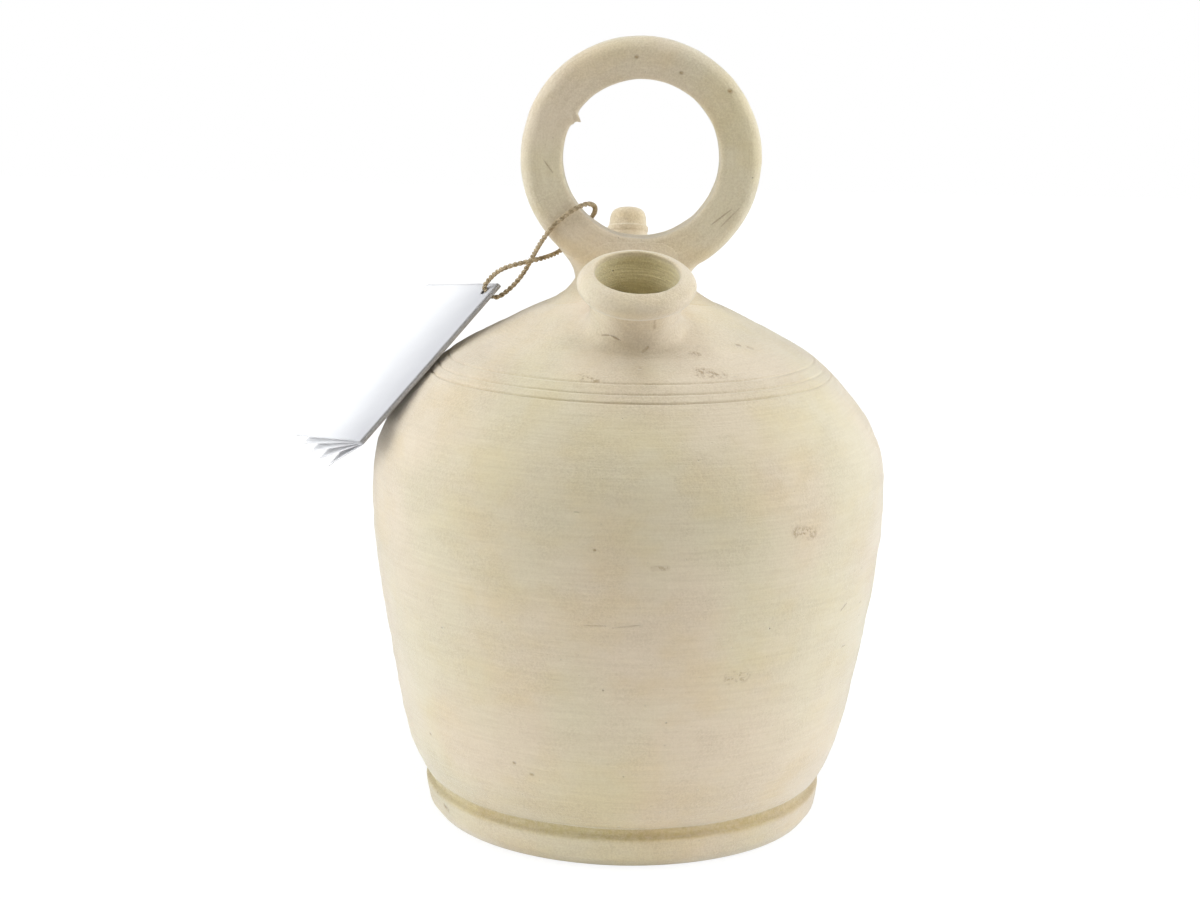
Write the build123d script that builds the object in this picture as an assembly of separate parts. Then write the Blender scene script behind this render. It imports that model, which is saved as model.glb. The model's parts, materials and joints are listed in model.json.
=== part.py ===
from build123d import *
import math
import os

# Unglazed white clay water jug: a closed thrown body with a ring handle on top, a filling
# mouth in front and a fine drinking spout behind, and a small folded card tied to the
# handle with twine.
# Millimetres, +Z up. The origin is the centre of the foot's underside. The filling mouth
# leans towards -Y and the drinking spout towards +Y.

# Thrown body
belly_radius = 100.0
body_height = 208.5
wall = 5.0
floor_thickness = 7.0
floor_corner_radius = 5.0
hip_inside_radius = 8.0
foot_radius = 75.0
foot_bevel_width = 2.6
foot_bevel_height = 3.5
foot_height = 11.5
foot_top_radius = 78.8
foot_groove_width = 5.0
foot_groove_depth = 2.4
# Outside of the body from the foot's groove to the crown: each pair is a share of the way out
# and a share of the height from the groove to the crown. Below the belly the way out runs from
# the foot's top to the belly, and above it from the axis to the belly.
hip_outline_shares = ((0.151, 0.029), (0.354, 0.091), (0.599, 0.227), (0.873, 0.409), (1.000, 0.591))
dome_outline_shares = ((0.970, 0.695), (0.879, 0.773), (0.732, 0.852), (0.529, 0.914), (0.366, 0.956))
body_start_slope_share = 0.64
# Three fine lines cut round the shoulder, the lowest one the strongest
shoulder_line_height_shares = (0.8440, 0.8567, 0.8713)
shoulder_line_radii = (0.75, 0.55, 0.50)

# Filling mouth. It sits on the dome, so its way out from the axis is a share of the belly's
# radius, and so is the spout's
mouth_side_offset = 1.0
mouth_reach_share = 0.450
mouth_rise = 6.5
mouth_lean = 20.0
mouth_bore_radius = 14.0
mouth_lip_flare = 1.4
mouth_lip_width = 0.8
mouth_neck_radius = 18.0
rim_radius = 22.1
rim_half_height = 4.35
neck_flare_drop = 8.0
neck_flare_radius = 14.0
neck_flare_angle = 50.0

# Drinking spout
spout_side_offset = -1.7
spout_reach_share = 0.476
spout_rise = 25.5
spout_lean = 15.0
spout_tip_radius = 6.5
spout_tip_rounding = 1.3
spout_bore_radius = 2.2
spout_collar_drop = 7.5
spout_collar_height = 2.4
spout_collar_radius = 8.3
spout_shaft_radius = 7.9
spout_root_drop = 30.0
spout_root_radius = 11.5
spout_root_bore_radius = 7.0
spout_flare_radius = 6.0
spout_flare_angle = 42.0

# Ring handle, a thick band bent round a hand hole
ring_side_offset = 2.2
ring_rise = 49.0
ring_outer_radius = 46.0
ring_inner_radius = 30.0
ring_half_depth = 10.0
ring_inner_half_depth = 8.0
ring_outer_rounding = 5.5
ring_inner_rounding = 1.8

# Saddle of clay under the ring: each row is a drop below the ring's centre as a share of
# the ring's outer radius, then the half width and half depth as shares of it
saddle_shares = (
    (0.728, 0.650, 0.176), (0.880, 0.560, 0.222), (1.011, 0.487, 0.257),
    (1.120, 0.520, 0.304), (1.300, 0.640, 0.400),
)

# Twine and its knot
twine_diameter = 1.8
knot_centre = (-21.6, 13.0, 227.2)
knot_radius = 2.4
knot_wrap_inset = 0.3
knot_tail_length = 7.0
knot_tail_directions = ((0.25, 0.30, -0.92), (0.02, 0.55, -0.83))
# The closed loop of twine: from the knot behind the handle over the ring's inner edge,
# down across its front, past its own other strand, through the card and back
twine_route = (
    (-20.7, 12.9, 228.3), (-18.5, 12.4, 231.2), (-16.0, 9.6, 233.9), (-14.8, 3.5, 236.8),
    (-15.2, -3.0, 239.3), (-17.7, -8.3, 240.6), (-21.8, -10.7, 239.1), (-26.5, -11.2, 236.0),
    (-31.2, -11.1, 231.5), (-34.4, -8.8, 227.0), (-37.0, -4.4, 222.5), (-39.4, 1.2, 217.6),
    (-41.8, 3.6, 212.8), (-44.9, 5.0, 208.4), (-48.8, 6.2, 204.3), (-53.6, 5.7, 201.1),
    (-58.3, 5.5, 205.4), (-56.2, 4.0, 208.7), (-53.1, 0.8, 212.2), (-49.4, -1.6, 214.6),
    (-44.5, -3.4, 216.3), (-39.6, -4.2, 217.6), (-35.5, -2.4, 218.4), (-32.0, 2.6, 219.0),
    (-28.6, 8.0, 220.1), (-25.2, 12.4, 222.9), (-22.5, 12.9, 226.1),
)
run_share = 0.45

# Folded card: a cover folded round three inner leaves, its spine lying down the shoulder
card_corner = (-50.8, 3.3, 206.6)
card_heading = -139.5
card_dip = 40.5
card_roll = 27.0
card_length = 85.0
card_width = 55.0
card_thickness = 1.8
cover_board = 0.36
inner_leaf_count = 3
inner_leaf_board = 0.28
inner_leaf_margin = 0.72
inner_leaf_step = 0.18
spine_gap = 0.10
cover_opening = 18.0
card_hole_from_spine = 5.0
card_hole_from_top = 4.0
card_hole_radius = 2.0

# One overrun serves every cut
overrun = 20.0

groove_top = foot_height + foot_groove_width
rim_centre_height = body_height + mouth_rise
ring_centre = Vector(ring_side_offset, 0, body_height + ring_rise)


def body_points():
    """Points of the body's outside above the groove, without its two ends."""
    climb = body_height - groove_top
    spread = belly_radius - foot_top_radius
    hip = [(foot_top_radius + spread * out, groove_top + climb * up) for out, up in hip_outline_shares]
    dome = [(belly_radius * out, groove_top + climb * up) for out, up in dome_outline_shares]
    return hip + dome


def body_curve():
    """The body's outside line from the groove's top to the crown, in the XY plane."""
    ends = [(body_start_slope_share, 1), (-1, 0)]
    points = [(foot_top_radius, groove_top), *body_points(), (0, body_height)]
    return Spline(*points, tangents=ends, tangent_scalars=(1, 1))


def turned(*edges, frame=Plane.XZ):
    """Solid turned from a closed outline whose X is the radius and Y the height."""
    face = make_face(edges)
    axis = Axis(frame.origin, frame.y_dir)
    return revolve(frame * face, axis, 360)


def lean_frame(side, reach, height, lean):
    """Plane through an axis that leans in Y, with Y of the plane along that axis."""
    along = Vector(0, math.sin(math.radians(lean)), math.cos(math.radians(lean)))
    across = Vector(1, 0, 0)
    return Plane(origin=(side, reach, height), x_dir=across, z_dir=across.cross(along))


def body_outside():
    """The body and foot as one full solid."""
    groove_floor = foot_top_radius - foot_groove_depth
    bevel_radius = foot_radius + foot_bevel_width
    foot = Polyline(
        (0, body_height), (0, 0), (foot_radius, 0), (bevel_radius, foot_bevel_height),
        (foot_top_radius, foot_height), (groove_floor, foot_height + foot_groove_depth / 2),
        (groove_floor, groove_top - foot_groove_depth / 2), (foot_top_radius, groove_top),
    )
    return turned(foot, body_curve())


def body_inside():
    """The hollow inside the body, one wall in from the outside."""
    curve = body_curve()
    points = []
    for radius, height in body_points()[1:]:
        slope = curve.tangent_at(Vector(radius, height))
        points.append((radius - wall * slope.Y, height + wall * slope.X))
    start = Vector(*points[0])
    well_radius = foot_top_radius - foot_groove_depth - wall
    shelf = Vector(well_radius, groove_top)
    top = (0, body_height - wall)
    side = Spline(*points, top, tangents=[start - shelf, (-1, 0)], tangent_scalars=(1, 1))
    floor = FilletPolyline(
        top, (0, floor_thickness), (well_radius, floor_thickness), shelf, start,
        radius=[0, floor_corner_radius, hip_inside_radius],
    )
    return turned(side, floor)


def shoulder_lines():
    """Fine rings that are cut out of the shoulder's surface."""
    curve = body_curve()
    rings = []
    for share, radius in zip(shoulder_line_height_shares, shoulder_line_radii):
        height = share * body_height
        level = Line((0, height), (belly_radius, height))
        spot = curve.intersect(level)[0].center()
        tool = Pos(spot.X, spot.Y) * Circle(radius)
        rings.append(revolve(Plane.XZ * tool, Axis.Z, 360))
    return rings


def mouth_frame():
    """Frame of the filling mouth, at the middle of its rim."""
    reach = mouth_reach_share * belly_radius
    return lean_frame(mouth_side_offset, -reach, rim_centre_height, -mouth_lean)


def mouth_bore():
    """The straight hole of the filling mouth, down through the crown."""
    depth = mouth_rise + wall + overrun
    outline = Polyline(
        (0, -depth), (mouth_bore_radius, -depth), (mouth_bore_radius, rim_half_height + overrun),
        (0, rim_half_height + overrun), (0, -depth),
    )
    return turned(outline, frame=mouth_frame())


def mouth_outside():
    """Rolled rim, short neck and flared root, run on into the crown."""
    depth = mouth_rise + wall + overrun
    lip_radius = mouth_bore_radius + mouth_lip_flare
    lip_middle = (mouth_bore_radius + mouth_lip_flare / 3, rim_half_height / 2)
    lip_foot = (mouth_bore_radius, -rim_half_height / 4)
    lip = ThreePointArc(lip_foot, lip_middle, (lip_radius, rim_half_height))
    crest = Line(lip @ 1, (lip_radius + mouth_lip_width, rim_half_height))
    widest = (rim_radius, -rim_half_height / 6)
    under = (mouth_neck_radius + mouth_lip_flare / 3, -rim_half_height)
    roll = Spline(crest @ 1, widest, under, tangents=[(1, 0), (-1, -1 / 3)], tangent_scalars=(1, 1))
    neck = Line(roll @ 1, (mouth_neck_radius, -neck_flare_drop))
    flare = JernArc(neck @ 1, (0, -1), neck_flare_radius, neck_flare_angle)
    skirt = Line(flare @ 1, (flare @ 1) + (flare % 1) * overrun)
    back = Polyline(
        skirt @ 1, ((skirt @ 1).X, -depth), (mouth_bore_radius, -depth), lip @ 0,
    )
    return turned(lip, crest, roll, neck, flare, skirt, back, frame=mouth_frame())


def spout_frame():
    """Frame of the drinking spout, at the middle of its tip."""
    reach = spout_reach_share * belly_radius
    return lean_frame(spout_side_offset, reach, body_height + spout_rise, spout_lean)


def spout_bore():
    """Tapered water way of the drinking spout, from the crown to the tip."""
    depth = spout_root_drop + wall + overrun
    widening = (spout_root_bore_radius - spout_bore_radius) / spout_root_drop
    outline = Polyline(
        (0, overrun), (spout_bore_radius, overrun), (spout_bore_radius, 0),
        (spout_bore_radius + widening * depth, -depth), (0, -depth), (0, overrun),
    )
    return turned(outline, frame=spout_frame())


def spout_outside():
    """Tapered spout with its collar and flared root, run on into the crown."""
    collar_low = -spout_collar_drop - spout_collar_height
    tip = Polyline((0, 0), (spout_tip_radius - spout_tip_rounding, 0))
    edge = JernArc(tip @ 1, (1, 0), spout_tip_rounding, -80)
    shaft = Polyline(
        edge @ 1, (spout_shaft_radius, -spout_collar_drop), (spout_collar_radius, -spout_collar_drop),
        (spout_collar_radius, collar_low), (spout_root_radius, -spout_root_drop),
    )
    flare = JernArc(shaft @ 1, shaft % 1, spout_flare_radius, spout_flare_angle)
    skirt = Line(flare @ 1, (flare @ 1) + (flare % 1) * overrun)
    back = Polyline(skirt @ 1, (0, (skirt @ 1).Y), (0, 0))
    return turned(tip, edge, shaft, flare, skirt, back, frame=spout_frame())


def ring_band():
    """The ring handle: a band with flat sides and a round outer edge, turned about Y."""
    inside = ring_inner_radius
    outside = ring_outer_radius
    outline = Polyline(
        (inside, -ring_inner_half_depth), (outside - ring_outer_rounding, -ring_half_depth),
        (outside, -ring_half_depth), (outside, ring_half_depth),
        (outside - ring_outer_rounding, ring_half_depth), (inside, ring_inner_half_depth),
        (inside, -ring_inner_half_depth),
    )
    section = make_face(outline)
    middle = (inside + outside) / 2
    inner_corners = section.vertices().filter_by(lambda v: v.X < middle)
    section = fillet(inner_corners, ring_inner_rounding)
    outer_corners = section.vertices().filter_by(lambda v: v.X > outside - ring_inner_rounding)
    section = fillet(outer_corners, ring_outer_rounding)
    frame = Plane(origin=ring_centre, x_dir=(1, 0, 0), z_dir=(0, 0, 1))
    return revolve(frame * section, Axis(ring_centre, (0, 1, 0)), 360)


def saddle_block():
    """Waisted block of clay from inside the crown up into the ring's lowest part."""
    sections = []
    for drop, half_width, half_depth in saddle_shares:
        level = ring_centre - Vector(0, 0, drop * ring_outer_radius)
        oval = Ellipse(half_width * ring_outer_radius, half_depth * ring_outer_radius)
        sections.append(Plane(origin=level) * oval)
    return loft(sections)


def knot():
    """Small knot of twine behind the handle: core, one wrap round it and two cut ends."""
    centre = Vector(*knot_centre)
    along = (Vector(*twine_route[1]) - centre).normalized()
    frame = Plane(origin=centre, z_dir=along)
    strand_radius = twine_diameter / 2
    wrap = Torus(knot_radius - knot_wrap_inset, strand_radius - knot_wrap_inset / 3)
    pieces = [frame * wrap]
    for direction in knot_tail_directions:
        place = Plane(origin=centre, z_dir=direction)
        pieces.append(place * extrude(Circle(strand_radius), knot_tail_length))
    return frame * Sphere(knot_radius) + pieces


def twine(knot_solid):
    """The loop of twine, a tube of straight runs and tangent arcs."""
    points = [Vector(*point) for point in twine_route]
    radii = []
    for before, here, after in zip(points, points[1:], points[2:]):
        run_in = here - before
        run_out = after - here
        turn = math.radians(run_in.get_angle(run_out))
        radii.append(run_share * min(run_in.length, run_out.length) / math.tan(turn / 2))
    print("twine radii", " ".join(f"{radius:.1f}" for radius in radii))
    path = FilletPolyline(*points, radius=radii)
    section = Plane(origin=path @ 0, z_dir=path % 0) * Circle(twine_diameter / 2)
    tube = sweep(section, path=path)
    expected = math.pi * (twine_diameter / 2) ** 2 * path.length
    print(f"twine length {path.length:.1f}, volume {tube.volume:.1f}, section x length {expected:.1f}")
    return tube - knot_solid


def card_plane():
    """Frame of the card: X across the back cover, Y down the spine, Z out of its front."""
    heading = math.radians(card_heading)
    dip = math.radians(card_dip)
    roll = math.radians(card_roll)
    spine = Vector(math.cos(dip) * math.cos(heading), math.cos(dip) * math.sin(heading), -math.sin(dip))
    level = Vector(math.sin(heading), -math.cos(heading), 0)
    upright = level.cross(spine)
    across = level * math.cos(roll) - upright * math.sin(roll)
    outward = upright * math.cos(roll) + level * math.sin(roll)
    return Plane(origin=card_corner, x_dir=across, z_dir=outward)


def leaf(start, height, board, opening, width):
    """One leaf that turns about its edge at the spine, with the hole for the twine."""
    plate = Pos(width / 2, card_length / 2, board / 2) * Box(width, card_length, board)
    across = (card_hole_from_spine - start) / math.cos(math.radians(opening))
    hole = Pos(across, card_hole_from_top, 0) * Cylinder(card_hole_radius, board * 4)
    return Pos(start, 0, height) * Rot(0, -opening, 0) * (plate - hole)


def card_back():
    """Back cover with the folded spine."""
    back = leaf(0, 0, cover_board, 0, card_width)
    spine_height = card_thickness - cover_board - spine_gap
    spine = Pos(cover_board / 2, card_length / 2, spine_height / 2) * Box(
        cover_board, card_length, spine_height
    )
    return back + spine


def inner_leaf(number):
    """Inner leaf, counted from the back cover, fanned evenly under the front cover."""
    pitch = (card_thickness - cover_board * 2) / inner_leaf_count
    height = cover_board + pitch * (number - 0.5) - inner_leaf_board / 2
    start = inner_leaf_margin + inner_leaf_step * (inner_leaf_count - number)
    opening = cover_opening * number / (inner_leaf_count + 1)
    return leaf(start, height, inner_leaf_board, opening, card_width - start)


def card_front():
    """Front cover, turned open about the spine's front edge."""
    turned_up = Pos(0, 0, card_thickness) * Rot(0, -cover_opening, 0)
    across = card_hole_from_spine / math.cos(math.radians(cover_opening))
    plate = Pos(card_width / 2, card_length / 2, -cover_board / 2) * Box(
        card_width, card_length, cover_board
    )
    hole = Pos(across, card_hole_from_top, 0) * Cylinder(card_hole_radius, cover_board * 4)
    return turned_up * (plate - hole)


def main():
    """Builds every piece and writes one STEP file for each."""
    outside = body_outside()
    bores = mouth_bore() + spout_bore()
    ring = ring_band()
    mouth = mouth_outside() - outside - mouth_bore()
    spout = spout_outside() - outside - spout_bore()
    knot_solid = knot()
    parts = {
        "thrown_body": outside - body_inside() - bores - shoulder_lines(),
        "filling_mouth": mouth,
        "drinking_spout": spout,
        "ring_handle": ring,
        "handle_saddle": saddle_block() - ring - outside - mouth - spout,
        "twine_knot": knot_solid,
        "twine_loop": twine(knot_solid),
    }
    card = card_plane()
    parts["card_back_cover"] = card * card_back()
    for number in range(1, inner_leaf_count + 1):
        parts[f"card_inner_leaf_{number}"] = card * inner_leaf(number)
    parts["card_front_cover"] = card * card_front()
    os.makedirs("parts", exist_ok=True)
    for name, shape in parts.items():
        print(name, "solids", len(shape.solids()), "volume", round(shape.volume, 1))
        export_step(shape, f"parts/{name}.step")


main()
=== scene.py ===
"""Looks of a white clay water jug with a card tied to its handle, around the fixed frame.

Lengths are in metres, angles in radians unless a name says degrees, and +Z is up.
"""

import json
import logging
import math
from dataclasses import dataclass
from enum import Enum
from typing import Callable, Sequence

import bmesh
import bpy
import numpy as np
from mathutils import Matrix, Vector
from mathutils.kdtree import KDTree


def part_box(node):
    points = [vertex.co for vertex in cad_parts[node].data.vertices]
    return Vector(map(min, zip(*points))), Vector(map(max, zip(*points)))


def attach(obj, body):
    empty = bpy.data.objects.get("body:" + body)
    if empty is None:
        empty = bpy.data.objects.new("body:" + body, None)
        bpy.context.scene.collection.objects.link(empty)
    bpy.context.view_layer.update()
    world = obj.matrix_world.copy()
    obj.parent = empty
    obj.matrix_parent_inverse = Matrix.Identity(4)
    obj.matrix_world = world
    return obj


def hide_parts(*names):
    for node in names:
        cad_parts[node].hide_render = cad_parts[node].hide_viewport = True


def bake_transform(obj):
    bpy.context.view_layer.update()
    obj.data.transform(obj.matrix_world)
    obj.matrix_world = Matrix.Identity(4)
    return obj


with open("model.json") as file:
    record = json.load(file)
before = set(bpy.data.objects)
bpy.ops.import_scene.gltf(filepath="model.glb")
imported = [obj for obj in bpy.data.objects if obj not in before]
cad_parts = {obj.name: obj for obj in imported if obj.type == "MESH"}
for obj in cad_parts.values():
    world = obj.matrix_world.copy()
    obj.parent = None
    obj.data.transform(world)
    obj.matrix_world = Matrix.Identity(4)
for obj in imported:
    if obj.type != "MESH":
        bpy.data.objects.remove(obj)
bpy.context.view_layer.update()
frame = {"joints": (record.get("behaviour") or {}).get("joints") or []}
log = logging.getLogger("jug")

Array = np.ndarray
Pair = tuple[float, float]
Triple = tuple[float, float, float]
Colour = tuple[float, float, float]
FULL_TURN = 2 * math.pi
MERGE_GAP = 1e-6
TABLE_SIZE = 4096
HASH_PRIMES = (73856093, 19349663, 83492791)
PACE_SAMPLES = 6000
MARCH_SHARE = 0.85
SLAB_COUNT = 24


class Slot(Enum):
    """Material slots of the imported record."""

    CLAY = "clay"
    TWINE = "twine"
    CARD = "card"


def joint_of(name: str) -> dict:
    """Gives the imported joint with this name.

    Args:
        name: the joint's name in the record.

    Returns:
        The joint's entry, with its place and axis.
    """
    return next(joint for joint in frame["joints"] if joint["name"] == name)


def lengths(vectors: Array) -> Array:
    """Gives the length of each vector in the last axis."""
    return np.linalg.norm(vectors, axis=-1)


def units(vectors: Array) -> Array:
    """Gives each vector in the last axis at unit length."""
    return vectors / np.maximum(lengths(vectors)[..., None], 1e-12)


def ease(low: float, high: float, values: Array) -> Array:
    """Rises smoothly from 0 at low to 1 at high."""
    share = np.clip((values - low) / (high - low), 0, 1)
    return share * share * (3 - 2 * share)


def merged(first: Array, second: Array, reach: float) -> Array:
    """Joins two distance fields with a fillet.

    Args:
        first: distances to one surface.
        second: distances to the other surface.
        reach: how far from the corner the fillet starts.

    Returns:
        Distances to the filleted union.
    """
    closeness = np.clip(reach - np.abs(first - second), 0, None) / reach
    return np.minimum(first, second) - closeness * closeness * reach / 4


class Unevenness:
    """Smooth repeatable noise in space, from -1 to 1."""

    def __init__(self, seed: int) -> None:
        """Draws the table of values that the noise picks from."""
        self.values = np.random.default_rng(seed).uniform(-1, 1, TABLE_SIZE)

    def at(self, places: Array, size: float | Sequence[float]) -> Array:
        """Gives the noise at some places.

        Args:
            places: points in the last axis.
            size: length of one swell, the same or one for each axis.

        Returns:
            One value for each point.
        """
        spots = places / np.asarray(size, float)
        corner = np.floor(spots).astype(np.int64)
        within = spots - corner
        blend = within * within * (3 - 2 * within)
        total = np.zeros(spots.shape[:-1])
        for step in np.ndindex(2, 2, 2):
            cell = (corner + np.array(step)) * np.array(HASH_PRIMES)
            key = cell[..., 0] ^ cell[..., 1] ^ cell[..., 2]
            weight = np.prod(np.where(np.array(step) == 1, blend, 1 - blend), axis=-1)
            total += self.values[key % TABLE_SIZE] * weight
        return total


class SmoothLine:
    """Smooth line through points in a plane, with a set direction at each end."""

    def __init__(self, points: Sequence[Pair], start: Pair, end: Pair) -> None:
        """Works out the line's direction at each of its points."""
        self.knots = np.array(points, float)
        self.runs = lengths(np.diff(self.knots, axis=0))
        self.marks = np.concatenate(([0.0], np.cumsum(self.runs)))
        count = len(self.knots)
        system = np.eye(count)
        right = np.zeros((count, 2))
        right[0] = units(np.array(start, float))
        right[-1] = units(np.array(end, float))
        for i in range(1, count - 1):
            before, after = self.runs[i - 1], self.runs[i]
            system[i, i - 1:i + 2] = after, 2 * (before + after), before
            run_in = (self.knots[i] - self.knots[i - 1]) * after / before
            run_out = (self.knots[i + 1] - self.knots[i]) * before / after
            right[i] = 3 * (run_in + run_out)
        self.slopes = np.linalg.solve(system, right)

    def sample(self, step: float) -> Array:
        """Gives points along the line about a step apart."""
        count = max(2, int(self.marks[-1] / step) + 1)
        at = np.linspace(0, self.marks[-1], count)
        span = np.clip(np.searchsorted(self.marks, at, side="right") - 1, 0, len(self.runs) - 1)
        run = self.runs[span][:, None]
        t = (at - self.marks[span])[:, None] / run
        start, end = self.knots[span], self.knots[span + 1]
        out, into = self.slopes[span] * run, self.slopes[span + 1] * run
        rise = t * t * (3 - 2 * t)
        return start + (end - start) * rise + out * (t * (1 - t) ** 2) + into * (t * t * (t - 1))


def stations(line: Array) -> Array:
    """Gives the way along a line at each of its points."""
    return np.concatenate(([0.0], np.cumsum(lengths(np.diff(line, axis=0)))))


def placed_on(line: Array, ways: Array) -> Array:
    """Gives the points of a line at some ways along it."""
    along = stations(line)
    return np.stack([np.interp(ways, along, line[:, axis]) for axis in range(line.shape[1])], axis=-1)


def softened(line: Array, radius: float) -> Array:
    """Rounds the corners of a line in a plane.

    Args:
        line: points of the line.
        radius: about how far the rounding reaches.

    Returns:
        Points of the rounded line, close together.
    """
    spread = 3
    reach = 3 * spread
    total = stations(line)[-1]
    dense = placed_on(line, np.linspace(0, total, int(total / (radius / spread)) + 2))
    kernel = np.exp(-0.5 * (np.arange(-reach, reach + 1) / spread) ** 2)
    kernel /= kernel.sum()
    before = 2 * dense[0] - dense[reach:0:-1]
    after = 2 * dense[-1] - dense[-2:-reach - 2:-1]
    padded = np.vstack((before, dense, after))
    return np.stack([np.convolve(padded[:, axis], kernel, "valid") for axis in range(2)], axis=-1)


def paced(total: float, step_at: Callable[[Array], Array]) -> Array:
    """Chooses ways along a line so that their spacing follows a rule.

    Args:
        total: the line's length.
        step_at: gives the spacing wanted at some ways along it.

    Returns:
        Ways along the line, from 0 to its length.
    """
    fine = np.linspace(0, total, PACE_SAMPLES)
    count = np.concatenate(([0.0], np.cumsum(np.diff(fine) / step_at(fine[1:]))))
    return np.interp(np.linspace(0, count[-1], int(count[-1]) + 2), count, fine)


def outwards(places: Array, quads: Array) -> Array:
    """Turns the faces of a closed surface so that they face outwards.

    Args:
        places: the surface's points.
        quads: the corners of each face, all turned alike.

    Returns:
        The corners of each face in the right order.
    """
    corners = places[quads]
    spans = np.cross(corners[:, 2] - corners[:, 0], corners[:, 3] - corners[:, 1])
    return quads if np.sum(spans * corners.mean(axis=1)) > 0 else quads[:, ::-1]


@dataclass
class Skin:
    """Points of a surface in rows, each row going once round the piece."""

    rows: Array
    closed: bool = True

    def parts(self) -> tuple[Array, Array]:
        """Gives the points and the corners of each face, facing outwards."""
        count, across = self.rows.shape[:2]
        row = np.arange(count if self.closed else count - 1)[:, None]
        column = np.arange(across)[None, :]
        over, beside = (row + 1) % count, (column + 1) % across
        pairs = ((row, column), (row, beside), (over, beside), (over, column))
        quads = np.stack([line * across + place for line, place in pairs], axis=-1).reshape(-1, 4)
        flat = self.rows.reshape(-1, 3)
        return flat, outwards(flat, quads)


def woven(name: str, places: Array, faces: Array, facts: dict[str, Array]) -> bpy.types.Mesh:
    """Makes a smooth-shaded mesh with named values on its points.

    Args:
        name: the mesh's name.
        places: its points.
        faces: the corners of each face.
        facts: one value or vector for each point, by attribute name.

    Returns:
        The mesh, with points that coincide merged.
    """
    mesh = bpy.data.meshes.new(name)
    mesh.from_pydata(places.tolist(), [], faces.tolist())
    store(mesh, facts)
    work = bmesh.new()
    work.from_mesh(mesh)
    bmesh.ops.remove_doubles(work, verts=work.verts, dist=MERGE_GAP)
    work.to_mesh(mesh)
    work.free()
    mesh.polygons.foreach_set("use_smooth", [True] * len(mesh.polygons))
    mesh.update()
    return mesh


def store(mesh: bpy.types.Mesh, facts: dict[str, Array]) -> None:
    """Stores named values on a mesh's points.

    Args:
        mesh: the mesh that gets them.
        facts: one value or vector for each point, by attribute name.
    """
    for name, values in facts.items():
        vector = values.ndim > 1
        kind, key = ("FLOAT_VECTOR", "vector") if vector else ("FLOAT", "value")
        layer = mesh.attributes.get(name) or mesh.attributes.new(name, kind, "POINT")
        layer.data.foreach_set(key, values.astype(np.float32).ravel())


def points_of(mesh: bpy.types.Mesh) -> Array:
    """Gives a mesh's points as an array."""
    places = np.empty(len(mesh.vertices) * 3, np.float32)
    mesh.vertices.foreach_get("co", places)
    return places.reshape(-1, 3).astype(float)


def shown(mesh: bpy.types.Mesh, name: str) -> bpy.types.Object:
    """Puts a mesh into the scene as an object at the origin."""
    piece = bpy.data.objects.new(name, mesh)
    bpy.context.scene.collection.objects.link(piece)
    return piece


def settled(piece: bpy.types.Object) -> bpy.types.Mesh:
    """Applies an object's modifiers and removes the object.

    Args:
        piece: a working object with modifiers.

    Returns:
        The finished mesh, under the object's name.
    """
    name = piece.name
    bpy.context.view_layer.update()
    evaluated = piece.evaluated_get(bpy.context.evaluated_depsgraph_get())
    mesh = bpy.data.meshes.new_from_object(evaluated)
    bpy.data.objects.remove(piece)
    mesh.name = name
    return mesh


class Wire:
    """One value in a node tree that can be used in plain sums."""

    def __init__(self, desk: "Desk", socket: bpy.types.NodeSocket) -> None:
        """Keeps the socket and the desk that adds nodes to its tree."""
        self.desk = desk
        self.socket = socket

    def of(self, output: str) -> "Wire":
        """Gives another output of the same node."""
        return Wire(self.desk, self.socket.node.outputs[output])

    def sum(self, operation: str, first: "Wire | float", second: "Wire | float" = 0.0) -> "Wire":
        """Adds a Math node.

        Args:
            operation: the Math node's operation.
            first: its first value.
            second: its second value.

        Returns:
            The result.
        """
        return self.desk.node("ShaderNodeMath", {"operation": operation}, {0: first, 1: second})

    def __add__(self, other: "Wire | float") -> "Wire":
        """Adds."""
        return self.sum("ADD", self, other)

    __radd__ = __add__

    def __sub__(self, other: "Wire | float") -> "Wire":
        """Subtracts another value from this one."""
        return self.sum("SUBTRACT", self, other)

    def __rsub__(self, other: float) -> "Wire":
        """Subtracts this value from a number."""
        return self.sum("SUBTRACT", other, self)

    def __mul__(self, other: "Wire | float") -> "Wire":
        """Multiplies."""
        return self.sum("MULTIPLY", self, other)

    __rmul__ = __mul__

    def __truediv__(self, other: "Wire | float") -> "Wire":
        """Divides this value by another."""
        return self.sum("DIVIDE", self, other)

    def over(self, limit: "Wire | float") -> "Wire":
        """Gives 1 where this value is above a limit, and 0 elsewhere."""
        return self.sum("GREATER_THAN", self, limit)

    def clamped(self) -> "Wire":
        """Keeps this value between 0 and 1."""
        return self.desk.node("ShaderNodeClamp", {}, {0: self})

    def ramp(self, low: float, high: float) -> "Wire":
        """Rises smoothly from 0 to 1 between two levels, which may fall."""
        if low > high:
            return 1 - self.ramp(high, low)
        inputs = {"Value": self, "From Min": low, "From Max": high}
        return self.desk.node("ShaderNodeMapRange", {"interpolation_type": "SMOOTHSTEP"}, inputs)


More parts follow.
